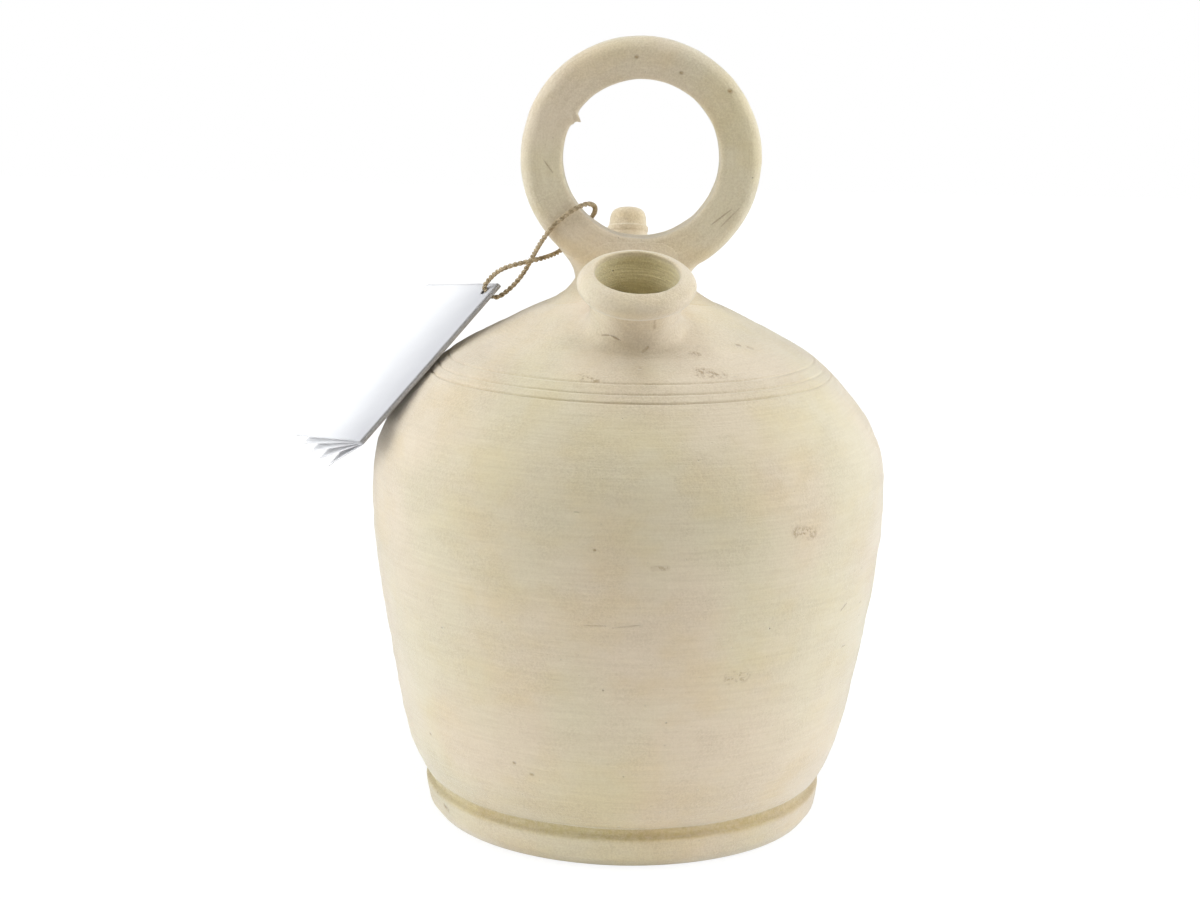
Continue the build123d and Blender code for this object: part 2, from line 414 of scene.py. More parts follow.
class Desk:
    """Adds nodes to a shader or geometry tree."""

    def __init__(self, tree: bpy.types.NodeTree) -> None:
        """Keeps the tree."""
        self.tree = tree

    def node(
        self, kind: str, settings: dict[str, object] | None = None,
        inputs: dict[str | int, object] | None = None, output: str | int = 0,
    ) -> Wire:
        """Adds a node.

        Args:
            kind: the node's type.
            settings: its settings, set before its sockets.
            inputs: values or wires for its input sockets.
            output: the output that is wanted.

        Returns:
            That output.
        """
        node = self.tree.nodes.new(kind)
        for key, value in (settings or {}).items():
            setattr(node, key, value)
        for key, value in (inputs or {}).items():
            if isinstance(value, Wire):
                self.tree.links.new(value.socket, node.inputs[key])
            elif isinstance(value, tuple) and node.inputs[key].type == "RGBA":
                node.inputs[key].default_value = (*value, 1.0)
            else:
                node.inputs[key].default_value = value
        return Wire(self, node.outputs[output]) if node.outputs else Wire(self, node.inputs[0])

    def attribute(self, name: str, output: str = "Fac") -> Wire:
        """Reads a named value of the mesh, which is 0 where the mesh has none."""
        return self.node("ShaderNodeAttribute", {"attribute_name": name}, output=output)

    def vector(self, operation: str, inputs: dict[str | int, object], output: int = 0) -> Wire:
        """Adds a Vector Math node, whose second output is its number."""
        return self.node("ShaderNodeVectorMath", {"operation": operation}, inputs, output)

    def surfaced(self, colour: Wire, height: Wire, distance: float, **inputs: float) -> None:
        """Ends a material in one rough surface with a relief.

        Args:
            colour: its colour.
            height: its relief, from 0 to 1.
            distance: how high a relief of 1 stands.
            inputs: the relief's strength and the surface's other numbers, with _ for a space.
        """
        relief = {"Strength": inputs.pop("strength", 1.0), "Distance": distance, "Height": height}
        given = {"Base Color": colour, "Normal": self.node("ShaderNodeBump", {}, relief)}
        given |= {key.replace("_", " "): value for key, value in inputs.items()}
        surface = self.node("ShaderNodeBsdfPrincipled", {}, given)
        self.node("ShaderNodeOutputMaterial", {}, {"Surface": surface})

    def mixed(self, share: Wire | float, first: Wire | Colour, second: Wire | Colour) -> Wire:
        """Mixes two colours.

        Args:
            share: how much of the second colour there is.
            first: the colour at a share of 0.
            second: the colour at a share of 1.

        Returns:
            The mixed colour.
        """
        settings = {"data_type": "RGBA"}
        return self.node("ShaderNodeMix", settings, {0: share, 6: first, 7: second}, output=2)

    def tinted(self, share: Wire | float, colour: Wire, factor: Colour) -> Wire:
        """Multiplies a colour by a tint where a share says so."""
        settings = {"data_type": "RGBA", "blend_type": "MULTIPLY"}
        return self.node("ShaderNodeMix", settings, {0: share, 6: colour, 7: factor}, output=2)

    def layered(self, colour: Wire, *layers: tuple[Wire, Colour]) -> Wire:
        """Multiplies a colour by several tints in turn, each where its share says so."""
        for share, factor in layers:
            colour = self.tinted(share, colour, factor)
        return colour

    def stretched(self, place: Wire, scale: Triple, shift: float = 0.0) -> Wire:
        """Scales and shifts a place before a texture reads it."""
        inputs = {"Vector": place, "Scale": scale, "Location": (shift, shift, shift)}
        return self.node("ShaderNodeMapping", {}, inputs)

    def noise(self, place: Wire, size: float, detail: float = 2.0, roughness: float = 0.5) -> Wire:
        """Adds a noise texture whose swells are about a size long."""
        inputs = {"Vector": place, "Scale": 1 / size, "Detail": detail, "Roughness": roughness}
        return self.node("ShaderNodeTexNoise", {}, inputs)

    def spots(self, place: Wire, spacing: float, radius: float, share: float) -> Wire:
        """Scatters soft round spots.

        Args:
            place: where the pattern is read.
            spacing: size of the cells that may each hold a spot.
            radius: a spot's radius.
            share: the share of the cells that hold one.

        Returns:
            1 at the middle of a spot and 0 away from it.
        """
        cells = self.node("ShaderNodeTexVoronoi", {}, {"Vector": place, "Scale": 1 / spacing})
        chosen = self.node("ShaderNodeSeparateColor", {}, {0: cells.of("Color")})
        depth = (cells * spacing).ramp(radius, radius / 4)
        size = chosen.of("Green").ramp(0, 1)
        return depth * chosen.over(1 - share) * (0.4 + 0.6 * size)


def blank(name: str) -> tuple[bpy.types.Material, Desk]:
    """Makes an empty material and the desk that fills it."""
    material = bpy.data.materials.new(name)
    material.use_nodes = True
    material.node_tree.nodes.clear()
    return material, Desk(material.node_tree)


@dataclass(frozen=True)
class Mark:
    """A small flaw in the clay: a crack, scratch, pit or rough patch; with no depth, a soft patch of painted
    shade.
    """

    start: Triple
    end: Triple
    half_width: float
    depth: float
    tint: float = 1.0
    rough: float = 0.45


@dataclass(frozen=True)
class Clay:
    """Unglazed white clay with brush lines, pits, cracks, faint colour patches, painted shade and painted
    bounce light.
    """

    name: str = "white_clay"
    colour: Colour = (0.850, 0.762, 0.602)
    # Tint that darkens the clay towards the bottom, below the dome.
    lower_body_tint: Colour = (0.900, 0.888, 0.866)
    rosy: Colour = (1.000, 0.962, 0.950)
    mossy: Colour = (0.970, 0.980, 0.930)
    sandy: Colour = (0.985, 0.950, 0.830)
    # Ochre darkens and yellows the clay as painted shade in the foot's groove and at the saddle's foot.
    ochre: Colour = (0.800, 0.755, 0.500)
    # A lighter, yellower colour for the inside of the bores: painted bounce light.
    throat: Colour = (1.000, 0.905, 0.580)
    pit_tint: Colour = (0.500, 0.420, 0.310)
    # Darkens the marks: the cracks, pits and rough patches, and the painted shade under the neck.
    scar_and_shade_tint: Colour = (0.520, 0.400, 0.240)
    shade: Colour = (0.880, 0.860, 0.820)
    band_tint: Colour = (0.955, 0.945, 0.92)
    smear_tint: Colour = (0.95, 0.93, 0.88)
    crumb_tint: Colour = (0.93, 0.905, 0.86)
    line_size: float = 0.0010
    band_size: float = 0.0085
    smear_size: float = 0.0042
    swell_size: float = 0.060
    cloud_size: float = 0.034
    grain_size: float = 0.00075
    crumb_size: float = 0.0019
    grit_size: float = 0.016
    pits: Triple = (0.0075, 0.00050, 0.24)
    specks: Triple = (0.0034, 0.00032, 0.20)
    nicks: Triple = (0.0040, 0.00036, 0.14)
    shoulder_levels: Pair = (0.160, 0.188)
    foot_levels: Pair = (0.040, 0.018)
    lower_body_levels: Pair = (0.150, 0.215)
    fray: Pair = (0.0010, 0.0006)
    relief: float = 0.00040
    marks: tuple[Mark, ...] = (
        Mark((0.0080, -0.1000, 0.1209), (0.0130, -0.0986, 0.1212), 0.0008, 0.3, 0.6, 0.7),
        Mark((0.0599, -0.0802, 0.1303), (0.0658, -0.0754, 0.1292), 0.0016, 0.4, 0.6, 0.9),
        Mark((-0.0158, -0.0966, 0.0992), (-0.0080, -0.0976, 0.0993), 0.0003, 0.5, 0.6),
        Mark((-0.0059, -0.0976, 0.0986), (0.0045, -0.0978, 0.1000), 0.0003, 0.5, 0.6),
        Mark((-0.0173, -0.0932, 0.0797), (0.0261, -0.0914, 0.0792), 0.0003, 0.8, 0.8),
        Mark((0.0261, -0.0914, 0.0792), (0.0453, -0.0832, 0.0786), 0.0003, 0.4, 0.5),
        Mark((0.0370, -0.0872, 0.0778), (0.0424, -0.0848, 0.0778), 0.0017, 0.4, 0.5, 0.9),
        Mark((0.0792, -0.0565, 0.0951), (0.0821, -0.0526, 0.0972), 0.0003, 0.8, 0.9),
        Mark((0.0810, -0.0491, 0.0790), (0.0828, -0.0460, 0.0789), 0.0003, 0.6, 0.8),
        Mark((-0.0738, -0.0479, 0.0413), (-0.0736, -0.0482, 0.0413), 0.0006, 0.9, 1.0),
        Mark((-0.0408, -0.0777, 0.0408), (-0.0405, -0.0779, 0.0408), 0.0006, 0.9, 1.0),
        Mark((-0.0344, -0.0798, 0.0373), (-0.0338, -0.0801, 0.0373), 0.0006, 0.9, 1.0),
        Mark((-0.0126, -0.0993, 0.1273), (-0.0124, -0.0993, 0.1273), 0.0005, 0.9, 1.0),
        Mark((-0.0690, -0.0372, 0.0086), (-0.0674, -0.0398, 0.0075), 0.0009, 0.9, 0.9, 0.5),
        Mark((-0.0164, -0.0430, 0.2062), (-0.0139, -0.0510, 0.2040), 0.0004, 1.0, 1.0),
        Mark((-0.0127, -0.0525, 0.1966), (-0.0092, -0.0550, 0.1966), 0.0004, 0.8, 0.9),
        Mark((-0.0092, -0.0550, 0.1966), (-0.0052, -0.0571, 0.1951), 0.0005, 1.0, 1.0),
        Mark((0.0038, -0.0584, 0.1923), (0.0059, -0.0578, 0.1935), 0.0006, 0.9, 0.9),
        Mark((0.0077, -0.0580, 0.2029), (0.0080, -0.0570, 0.1997), 0.0006, 0.4, 0.5, 0.5),
        Mark((0.0025, -0.0640, 0.1866), (0.0027, -0.0640, 0.1865), 0.0007, 0.9, 1.0),
        Mark((0.0220, -0.0520, 0.1902), (0.0236, -0.0516, 0.1900), 0.0011, 0.5, 0.7, 0.8),
        Mark((0.0389, -0.0375, 0.1917), (0.0400, -0.0370, 0.1914), 0.0006, 0.8, 1.0, 0.4),
        Mark((0.0432, -0.0354, 0.1904), (0.0446, -0.0350, 0.1900), 0.0007, 0.8, 0.9, 0.6),
        Mark((0.0244, -0.0617, 0.1849), (0.0317, -0.0593, 0.1843), 0.0020, 0.6, 0.7, 0.9),
        Mark((-0.0183, -0.0665, 0.1832), (-0.0132, -0.0687, 0.1826), 0.0012, 0.4, 0.6, 0.9),
        Mark((-0.0100, -0.0020, 0.2290), (-0.0056, -0.0082, 0.2275), 0.0005, 1.0, 1.0),
        Mark((-0.0006, -0.0095, 0.2958), (-0.0003, -0.0095, 0.2958), 0.0007, 0.9, 0.9),
        Mark((0.0164, -0.0091, 0.2902), (0.0167, -0.0091, 0.2901), 0.0007, 0.9, 0.9),
        Mark((0.0348, -0.0097, 0.2839), (0.0353, -0.0097, 0.2836), 0.0008, 0.9, 1.0),
        Mark((-0.0350, -0.0094, 0.2570), (-0.0312, -0.0086, 0.2518), 0.0003, 0.7, 0.8),
        Mark((0.0293, -0.0090, 0.2332), (0.0371, -0.0096, 0.2395), 0.0003, 0.8, 0.9),
        Mark((0.0330, -0.0092, 0.2325), (0.0400, -0.0098, 0.2400), 0.0003, 0.6, 0.7),
        # The last two are no flaws: with no depth, they are painted shade on the dome under the mouth's
        # neck.
        Mark((0.0010, -0.0620, 0.1900), (0.0040, -0.0690, 0.1840), 0.0100, 0.0, 0.36, 0.0),
        Mark((0.0010, -0.0600, 0.1890), (0.0010, -0.0720, 0.1800), 0.0200, 0.0, 0.16, 0.0),
    )

    def material(self, form: "JugForm") -> bpy.types.Material:
        """Builds the clay's material.

        Args:
            form: the clay surface that the marks are on.

        Returns:
            A material that reads Object coordinates and the attributes wheel, turned, stain and inside.
        """
        material, desk = blank(self.name)
        place = desk.node("ShaderNodeTexCoord", output="Object")
        wheel, turned = desk.attribute("wheel", "Vector"), desk.attribute("turned")
        stain, inside = desk.attribute("stain"), desk.attribute("inside")
        level = desk.node("ShaderNodeSeparateXYZ", {}, {0: place}, output="Z")
        lines = desk.noise(desk.stretched(wheel, (0.045, 0.045, 1.0)), self.line_size, 3.0, 0.65)
        bands = desk.noise(desk.stretched(wheel, (0.07, 0.07, 1.0), 3.0), self.band_size, 3.0, 0.55)
        smears = desk.noise(desk.stretched(wheel, (0.16, 0.16, 1.0), 7.0), self.smear_size, 2.0)
        swell = desk.noise(place, self.swell_size, 2.0)
        cloud = desk.noise(desk.stretched(place, (1.0, 1.0, 1.6), 0.4), self.cloud_size, 3.0, 0.6)
        grain = desk.noise(place, self.grain_size, 3.0, 0.7)
        crumb = desk.noise(place, self.crumb_size, 2.0)
        coarse = level.ramp(*self.shoulder_levels) + level.ramp(*self.foot_levels)
        gritty = desk.noise(place, self.grit_size, 2.0).ramp(0.40, 0.62) + coarse * 0.9
        colour = desk.mixed(swell.ramp(0.36, 0.64), self.tint(self.mossy), self.tint(self.rosy))
        colour = desk.layered(
            colour,
            (cloud.ramp(0.42, 0.72) * 0.8, self.sandy),
            # Darker towards the bottom: full below the first height, gone above the second.
            (1 - level.ramp(*self.lower_body_levels), self.lower_body_tint),
        )
        colour = desk.layered(
            # Painted bounce light: the inside of the bores is lighter and yellower than the clay.
            desk.mixed(inside, colour, self.throat),
            (bands.ramp(0.35, 0.75) * turned * 0.35, self.band_tint),
            (lines.ramp(0.25, 0.75) * turned * 0.55, self.shade),
            (smears.ramp(0.62, 0.78) * turned * 0.4, self.smear_tint),
            (grain.ramp(0.35, 0.68) * (0.45 + 0.45 * gritty), self.shade),
            (crumb.ramp(0.52, 0.72) * 0.30, self.crumb_tint),
            # Painted shade in the foot's groove and at the saddle's foot, broken up a little by crumb.
            (stain * (0.55 + 0.45 * crumb.ramp(0.3, 0.7)), self.ochre),
        )
        pits, specks = desk.spots(place, *self.pits), desk.spots(place, *self.specks)
        nicks = desk.spots(desk.stretched(wheel, (0.22, 0.22, 1.0), 1.0), *self.nicks)
        dark = pits.sum("MAXIMUM", pits, specks * 0.7)
        # The marks bring the flaws and the painted shade under the neck.
        scars_and_shade, hollow = self.scars_and_shade(desk, form, place, grain, crumb)
        colour = desk.layered(
            colour, (dark * 0.9, self.pit_tint), (nicks * 0.55, self.pit_tint), (scars_and_shade, self.scar_and_shade_tint),
        )
        height = grain * (0.35 + 0.30 * gritty) + crumb * 0.22
        height = height + lines * turned * 0.60 + bands * turned * 0.50
        height = height - dark * 1.1 - nicks * 0.7 - hollow
        desk.surfaced(
            colour, height, self.relief,
            Roughness=0.93, Specular_IOR_Level=0.40, Sheen_Weight=0.70, Sheen_Roughness=0.5,
        )
        return material

    def scars_and_shade(self, desk: Desk, form: "JugForm", place: Wire, grain: Wire, crumb: Wire) -> tuple[Wire, Wire]:
        """Lays the marks over the clay: its flaws, and the painted shade under the neck.

        Args:
            desk: adds nodes to the material.
            form: the clay surface that the marks are on.
            place: where a point of the clay is.
            grain: fine noise that frays a mark's edge.
            crumb: coarser noise that breaks up a rough patch.

        Returns:
            How dark and how deep the marks are at that point.
        """
        dark, deep = 0.0, 0.0
        fray = (grain - 0.5) * self.fray[0] + (crumb - 0.5) * self.fray[1]
        broken = (crumb * 0.6 + grain * 0.4).ramp(0.46, 0.60)
        for mark in self.marks:
            start = Vector(form.onto(mark.start))
            way = Vector(form.onto(mark.end)) - start
            reach = desk.vector("SUBTRACT", {0: place, 1: start})
            along = desk.vector("DOT_PRODUCT", {0: reach, 1: way}, 1)
            share = (along / max(way.length_squared, 1e-12)).clamped()
            gap = desk.vector("DISTANCE", {0: reach, 1: desk.vector("SCALE", {0: way, "Scale": share})}, 1)
            half = mark.half_width
            if way.length > half * 8:
                half = half * (0.35 + 2.6 * share * (1 - share))
            cover = (1.0 + mark.rough - (gap + fray) / half).clamped()
            if mark.rough:
                cover = cover * (1 - mark.rough + mark.rough * broken)
            dark = cover.sum("MAXIMUM", dark, cover * mark.tint)
            deep = cover.sum("MAXIMUM", deep, cover * mark.depth)
        return dark, deep

    def tint(self, factor: Colour) -> Colour:
        """Gives the clay's colour under a tint."""
        return tuple(part * share for part, share in zip(self.colour, factor))


@dataclass(frozen=True)
class Axle:
    """Axis that a piece is turned about, with a direction where its angle is 0."""

    origin: Array
    up: Array
    side: Array

    @property
    def fore(self) -> Array:
        """Direction at an angle of a quarter turn."""
        return np.cross(self.up, self.side)

    def place(self, radius: Array | float, height: Array | float, angle: Array | float) -> Array:
        """Gives points from their way out, their height and their angle, each an array or one number."""
        radius, height, angle = np.broadcast_arrays(radius, height, angle)
        out = np.cos(angle)[..., None] * self.side + np.sin(angle)[..., None] * self.fore
        return self.origin + out * radius[..., None] + self.up * height[..., None]

    def polar(self, places: Array) -> tuple[Array, Array, Array]:
        """Gives each point's way out, height and angle."""
        reach = places - self.origin
        across, along = reach @ self.side, reach @ self.fore
        return np.hypot(across, along), reach @ self.up, np.arctan2(along, across)


def marched(origins: Array, ways: Array, distance: Callable[[Array], Array], steps: int = 44) -> Array:
    """Moves points along straight ways until they reach a surface.

    Args:
        origins: where each point starts.
        ways: the unit direction of each, towards the surface.
        distance: gives the distance to the surface, below 0 inside.
        steps: how many moves are made.

    Returns:
        The points on the surface.
    """
    gone = np.zeros(origins.shape[:-1])
    for _ in range(steps):
        gone += MARCH_SHARE * distance(origins + ways * gone[..., None])
    return origins + ways * gone[..., None]


def netted(field: Callable[[Array], Array], low: Array, high: Array, step: float) -> tuple[Array, Array]:
    """Lays a closed net of faces over the surface where a field is 0.

    Args:
        field: gives a value below 0 inside the surface.
        low: the lowest corner of the space that is searched.
        high: its highest corner.
        step: size of the net's cells.

    Returns:
        The points on the surface and the corners of each face.
    """
    axes = [np.arange(low[axis], high[axis] + step, step) for axis in range(3)]
    grid = np.stack(np.meshgrid(*axes, indexing="ij"), axis=-1)
    values = np.concatenate([field(slab) for slab in np.array_split(grid, SLAB_COUNT)])
    cells = np.array(values.shape) - 1
    total = np.zeros((*cells, 3))
    count = np.zeros(tuple(cells))
    edges = []
    for axis in range(3):
        ahead = [slice(None)] * 3
        behind = [slice(None)] * 3
        ahead[axis], behind[axis] = slice(1, None), slice(None, -1)
        first, second = values[tuple(behind)], values[tuple(ahead)]
        spots = np.argwhere((first < 0) != (second < 0))
        one, two = first[tuple(spots.T)], second[tuple(spots.T)]
        cross = grid[tuple(spots.T)] + np.eye(3)[axis] * (one / (one - two) * step)[:, None]
        others = [other for other in range(3) if other != axis]
        across = spots[:, others]
        whole = np.all((across > 0) & (across < cells[others]), axis=1)
        spots, cross, one = spots[whole], cross[whole], one[whole]
        around = []
        for shift in ((0, 0), (-1, 0), (-1, -1), (0, -1)):
            cell = spots.copy()
            cell[:, others[0]] += shift[0]
            cell[:, others[1]] += shift[1]
            around.append(cell)
            np.add.at(total, tuple(cell.T), cross)
            np.add.at(count, tuple(cell.T), 1)
        turned = (one < 0) if axis != 1 else (one >= 0)
        edges.append((np.stack(around, axis=1), turned))
    number = np.full(tuple(cells), -1)
    used = np.argwhere(count > 0)
    number[tuple(used.T)] = np.arange(len(used))
    places = total[tuple(used.T)] / count[tuple(used.T)][:, None]
    faces = []
    for around, turned in edges:
        corners = number[tuple(np.moveaxis(around, -1, 0))]
        faces.append(np.where(turned[:, None], corners, corners[:, ::-1]))
    return places, np.vstack(faces)


def round_angles(count: int) -> Array:
    """Gives evenly spaced angles round a full turn."""
    return np.arange(count) / count * FULL_TURN


def wound(radius: float, angle: Array, way: Array) -> Array:
    """Gives places on a drum, so that noise read there runs round a piece without a seam."""
    return np.stack(np.broadcast_arrays(radius * np.cos(angle), radius * np.sin(angle), way), axis=-1)


def rod(axle: Axle, radius: float, span: Pair, count: int) -> bpy.types.Object:
    """Makes the round tool that cuts a hole along an axis.

    Args:
        axle: the hole's axis.
        radius: its radius.
        span: where the tool starts and ends along the axis.
        count: how many points it has round.

    Returns:
        The tool as a working object.
    """
    radii = np.array((0.0, radius, radius, 0.0))[:, None]
    places = axle.place(radii, np.repeat(span, 2)[:, None], round_angles(count)[None, :])
    return shown(woven("rod", *Skin(places, closed=False).parts(), {}), "rod")


def drilled(piece: bpy.types.Object, rods: list[bpy.types.Object]) -> bpy.types.Mesh:
    """Cuts holes through a working object and gives its mesh; the object and the tools go."""
    for tool in rods:
        cut = piece.modifiers.new("hole", "BOOLEAN")
        cut.operation, cut.object, cut.solver = "DIFFERENCE", tool, "MANIFOLD"
    mesh = settled(piece)
    for tool in rods:
        bpy.data.objects.remove(tool)
    return mesh


@dataclass
class JugForm:
    """The vessel's outside as one clay surface, which each clay piece takes its part of."""

    foot_radius: float = 0.0750
    foot_bevel_width: float = 0.0026
    foot_bevel_height: float = 0.0035
    foot_height: float = 0.0115
    foot_top_radius: float = 0.0788
    groove_width: float = 0.0050
    groove_depth: float = 0.0024
    hip_shares: tuple[Pair, ...] = (
        (0.151, 0.029), (0.354, 0.091), (0.599, 0.227), (0.873, 0.409), (1.0, 0.591),
    )
    dome_shares: tuple[Pair, ...] = (
        (0.970, 0.695), (0.879, 0.773), (0.732, 0.852), (0.529, 0.914), (0.366, 0.956),
    )
    throwing_pitch: float = 0.0240
    throwing_waves: tuple[Triple, ...] = ((0.00010, 1, 0.0), (0.00008, 2, 1.3), (0.00005, 5, 0.0))
    brush_relief: tuple[tuple[float, Triple], ...] = (
        (0.00013, (0.30, 0.30, 0.0065)), (0.00007, (0.05, 0.05, 0.0024)),
    )
    drum_radius: float = 0.05
    line_height_shares: Triple = (0.8440, 0.8567, 0.8713)
    line_depths: Triple = (0.00078, 0.00056, 0.00052)
    line_half_width: float = 0.00038
    edge_softness: float = 0.00050
    mouth_side: float = 0.0010
    mouth_reach: float = 0.0450
    mouth_rise: float = 0.0065
    mouth_lean: float = math.radians(22)
    mouth_tilt: float = math.radians(1.5)
    neck_radius: float = 0.0170
    neck_cap: float = -0.0035
    spout_side: float = -0.0017
    spout_reach: float = 0.0476
    spout_rise: float = 0.0255
    spout_lean: float = math.radians(15)
    spout_shaft: Pair = (0.0083, 0.0115)
    spout_shaft_drops: Pair = (0.0099, 0.0300)
    ring_inner_radius: float = 0.0300
    ring_inner_half_depth: float = 0.0080
    ring_outer_rounding: float = 0.0055
    ring_inner_rounding: float = 0.0018
    ring_ripple: float = 0.00012
    ring_ripple_size: float = 0.0060
    saddle_shift: float = -0.0025
    shoulder_share: float = 0.84
    saddle_heights: tuple[float, ...] = (0.1977, 0.2060, 0.2110, 0.2170, 0.2215, 0.2260)
    saddle_half_widths: tuple[float, ...] = (0.0280, 0.0226, 0.0212, 0.0236, 0.0262, 0.0285)
    saddle_half_depths: tuple[float, ...] = (0.0184, 0.0140, 0.0118, 0.0102, 0.0090, 0.0060)
    mouth_fillet: float = 0.0062
    saddle_top: float = 0.2235
    spout_fillet: float = 0.0080
    saddle_fillet: float = 0.0095
    ring_fillet: float = 0.0042

    def __post_init__(self) -> None:
        """Takes the main sizes from the frame and works out the outline."""
        low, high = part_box("thrown_body")
        self.height = high.z
        self.belly_radius = (high.x - low.x) / 2
        low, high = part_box("ring_handle")
        self.ring_middle = np.array((low + high) / 2)
        self.ring_radius = (high.x - low.x) / 2
        self.ring_half_depth = (high.y - low.y) / 2
        side = np.array((1.0, 0.0, 0.0))
        lean = self.mouth_lean
        self.mouth = Axle(
            np.array((self.mouth_side, -self.mouth_reach, self.height + self.mouth_rise)),
            *self.leaning(np.array((math.sin(self.mouth_tilt), -math.sin(lean), math.cos(lean)))),
        )
        lean = self.spout_lean
        self.spout = Axle(
            np.array((self.spout_side, self.spout_reach, self.height + self.spout_rise)),
            np.array((0.0, math.sin(lean), math.cos(lean))), side,
        )
        self.ring = Axle(self.ring_middle, np.array((0.0, -1.0, 0.0)), side)
        self.core = Axle(np.zeros(3), np.array((0.0, 0.0, 1.0)), side)
        self.swell = Unevenness(11)
        self.ripple = Unevenness(12)
        self.outline = self.body_outline()
        self.ways = stations(self.outline)
        top = self.outline[self.outline[:, 1] > 0.62 * self.height]
        top = top[top[:, 0].argsort()]
        self.dome_radii, self.dome_heights = top[:, 0], top[:, 1]
        self.dome_slopes = np.gradient(self.dome_heights, self.dome_radii)
        self.dome_ways = self.ways[-1] - stations(top)
        self.line_ways = [self.way_at_height(share * self.height) for share in self.line_height_shares]

    @staticmethod
    def leaning(up: Array) -> tuple[Array, Array]:
        """Gives an axis at unit length and a direction square to it, near +X."""
        fore = units(np.cross(up, np.array((1.0, 0.0, 0.0))))
        return units(up), units(np.cross(fore, up))

    def side_line(self) -> Array:
        """Gives the body's outside above the groove, up to the crown."""
        foot, belly, top = self.foot_top_radius, self.belly_radius, self.groove_top
        climb = self.height - top
        hip = [(foot + (belly - foot) * out, top + climb * up) for out, up in self.hip_shares]
        dome = [(belly * out, top + climb * up) for out, up in self.dome_shares]
        knots = [(foot, top), *hip, *dome, (0.0, self.height)]
        return SmoothLine(knots, (0.64, 1.0), (-1.0, 0.0)).sample(0.0006)

    @property
    def groove_top(self) -> float:
        """Height of the groove's upper edge."""
        return self.foot_height + self.groove_width

    def body_outline(self) -> Array:
        """Gives the body's whole outside line, from the middle of its underside to the crown."""
        floor = self.foot_top_radius - self.groove_depth
        slant = self.groove_depth / 2
        foot = [
            (0.0, 0.0), (self.foot_radius, 0.0),
            (self.foot_radius + self.foot_bevel_width, self.foot_bevel_height),
            (self.foot_top_radius, self.foot_height), (floor, self.foot_height + slant),
            (floor, self.groove_top - slant),
        ]
        return softened(np.vstack((foot, self.side_line())), self.edge_softness)

    def way_at_height(self, height: float) -> float:
        """Gives the way along the outline where the body's side has a height."""
        return float(np.interp(height, self.outline[:, 1], self.ways))

    def ridges(self, angle: Array, way: Array) -> Array:
        """Gives the relief left by throwing and turning the body.

        Args:
            angle: angle round the body.
            way: way along the outline.

        Returns:
            How far the surface stands out.
        """
        turn = FULL_TURN * way / self.throwing_pitch + angle
        drum = wound(self.drum_radius, angle, way)
        rise = sum(size * np.sin(times * turn + start) for size, times, start in self.throwing_waves)
        rise = (0.6 + 0.5 * self.swell.at(drum, self.drum_radius)) * rise
        for size, swells in self.brush_relief:
            rise += size * self.ripple.at(drum, swells)
        wear = 0.75 + 0.35 * self.ripple.at(drum, (0.02, 0.02, 0.1))
        for line_way, depth in zip(self.line_ways, self.line_depths):
            rise -= wear * depth * np.exp(-(((way - line_way) / self.line_half_width) ** 2))
        return rise

    def touch(self, places: Array) -> Array:
        """Gives the unevenness that hands leave anywhere on the clay."""
        return (
            0.00030 * self.swell.at(places, 0.030) + 0.00012 * self.swell.at(places, 0.009)
            + 0.00004 * self.ripple.at(places, 0.0028)
        )

    def body_distance(self, places: Array) -> Array:
        """Gives the distance above the dome."""
        radius, height, angle = self.core.polar(places)
        slope = np.interp(radius, self.dome_radii, self.dome_slopes)
        gap = (height - np.interp(radius, self.dome_radii, self.dome_heights)) / np.sqrt(1 + slope * slope)
        return gap - self.ridges(angle, self.dome_way(radius))

    def dome_way(self, radius: Array) -> Array:
        """Gives the way along the outline where the dome has a radius."""
        return np.interp(radius, self.dome_radii, self.dome_ways)

    def ring_relief(self, places: Array) -> Array:
        """Gives the relief that wet hands leave on the ring."""
        return self.ring_ripple * self.ripple.at(places, self.ring_ripple_size)

    def ring_distance(self, places: Array) -> Array:
        """Gives the distance from the ring handle with its relief."""
        return self.plain_ring_distance(places) - self.ring_relief(places)

    def plain_ring_distance(self, places: Array) -> Array:
        """Gives the distance from the ring handle as an even band."""
        radius, depth, _ = self.ring.polar(places)
        inner, outer = self.ring_inner_radius, self.ring_radius
        middle, half = (inner + outer) / 2, (outer - inner) / 2
        spread = np.clip((radius - inner) / (outer - self.ring_outer_rounding - inner), 0, 1)
        face = self.ring_inner_half_depth + (self.ring_half_depth - self.ring_inner_half_depth) * spread
        rounding = np.where(radius > middle, self.ring_outer_rounding, self.ring_inner_rounding)
        over = np.abs(radius - middle) - half + rounding
        proud = np.abs(depth) - face + rounding
        corner = np.hypot(np.clip(over, 0, None), np.clip(proud, 0, None))
        return corner + np.minimum(np.maximum(over, proud), 0) - rounding

    def saddle_distance(self, places: Array) -> Array:
        """Gives the distance from the waisted clay under the ring."""
        middle = self.ring_middle * (1, 1, 0) + (self.saddle_shift, 0, 0)
        x, y, z = (places - middle).transpose(-1, *range(places.ndim - 1))
        wide = np.interp(z, self.saddle_heights, self.saddle_half_widths)
        deep = np.interp(z, self.saddle_heights, self.saddle_half_depths)
        spread = np.hypot(x / wide, y / deep)
        slant = np.hypot(x / wide**2, y / deep**2)
        return np.maximum((spread - 1) * spread / np.maximum(slant, 1e-6), z - self.saddle_top)

    def neck_distance(self, places: Array) -> Array:
        """Gives the distance from the filling mouth's neck."""
        radius, height, _ = self.mouth.polar(places)
        over, up = radius - self.neck_radius, height - self.neck_cap
        corner = np.hypot(np.clip(over, 0, None), np.clip(up, 0, None))
        return corner + np.minimum(np.maximum(over, up), 0)

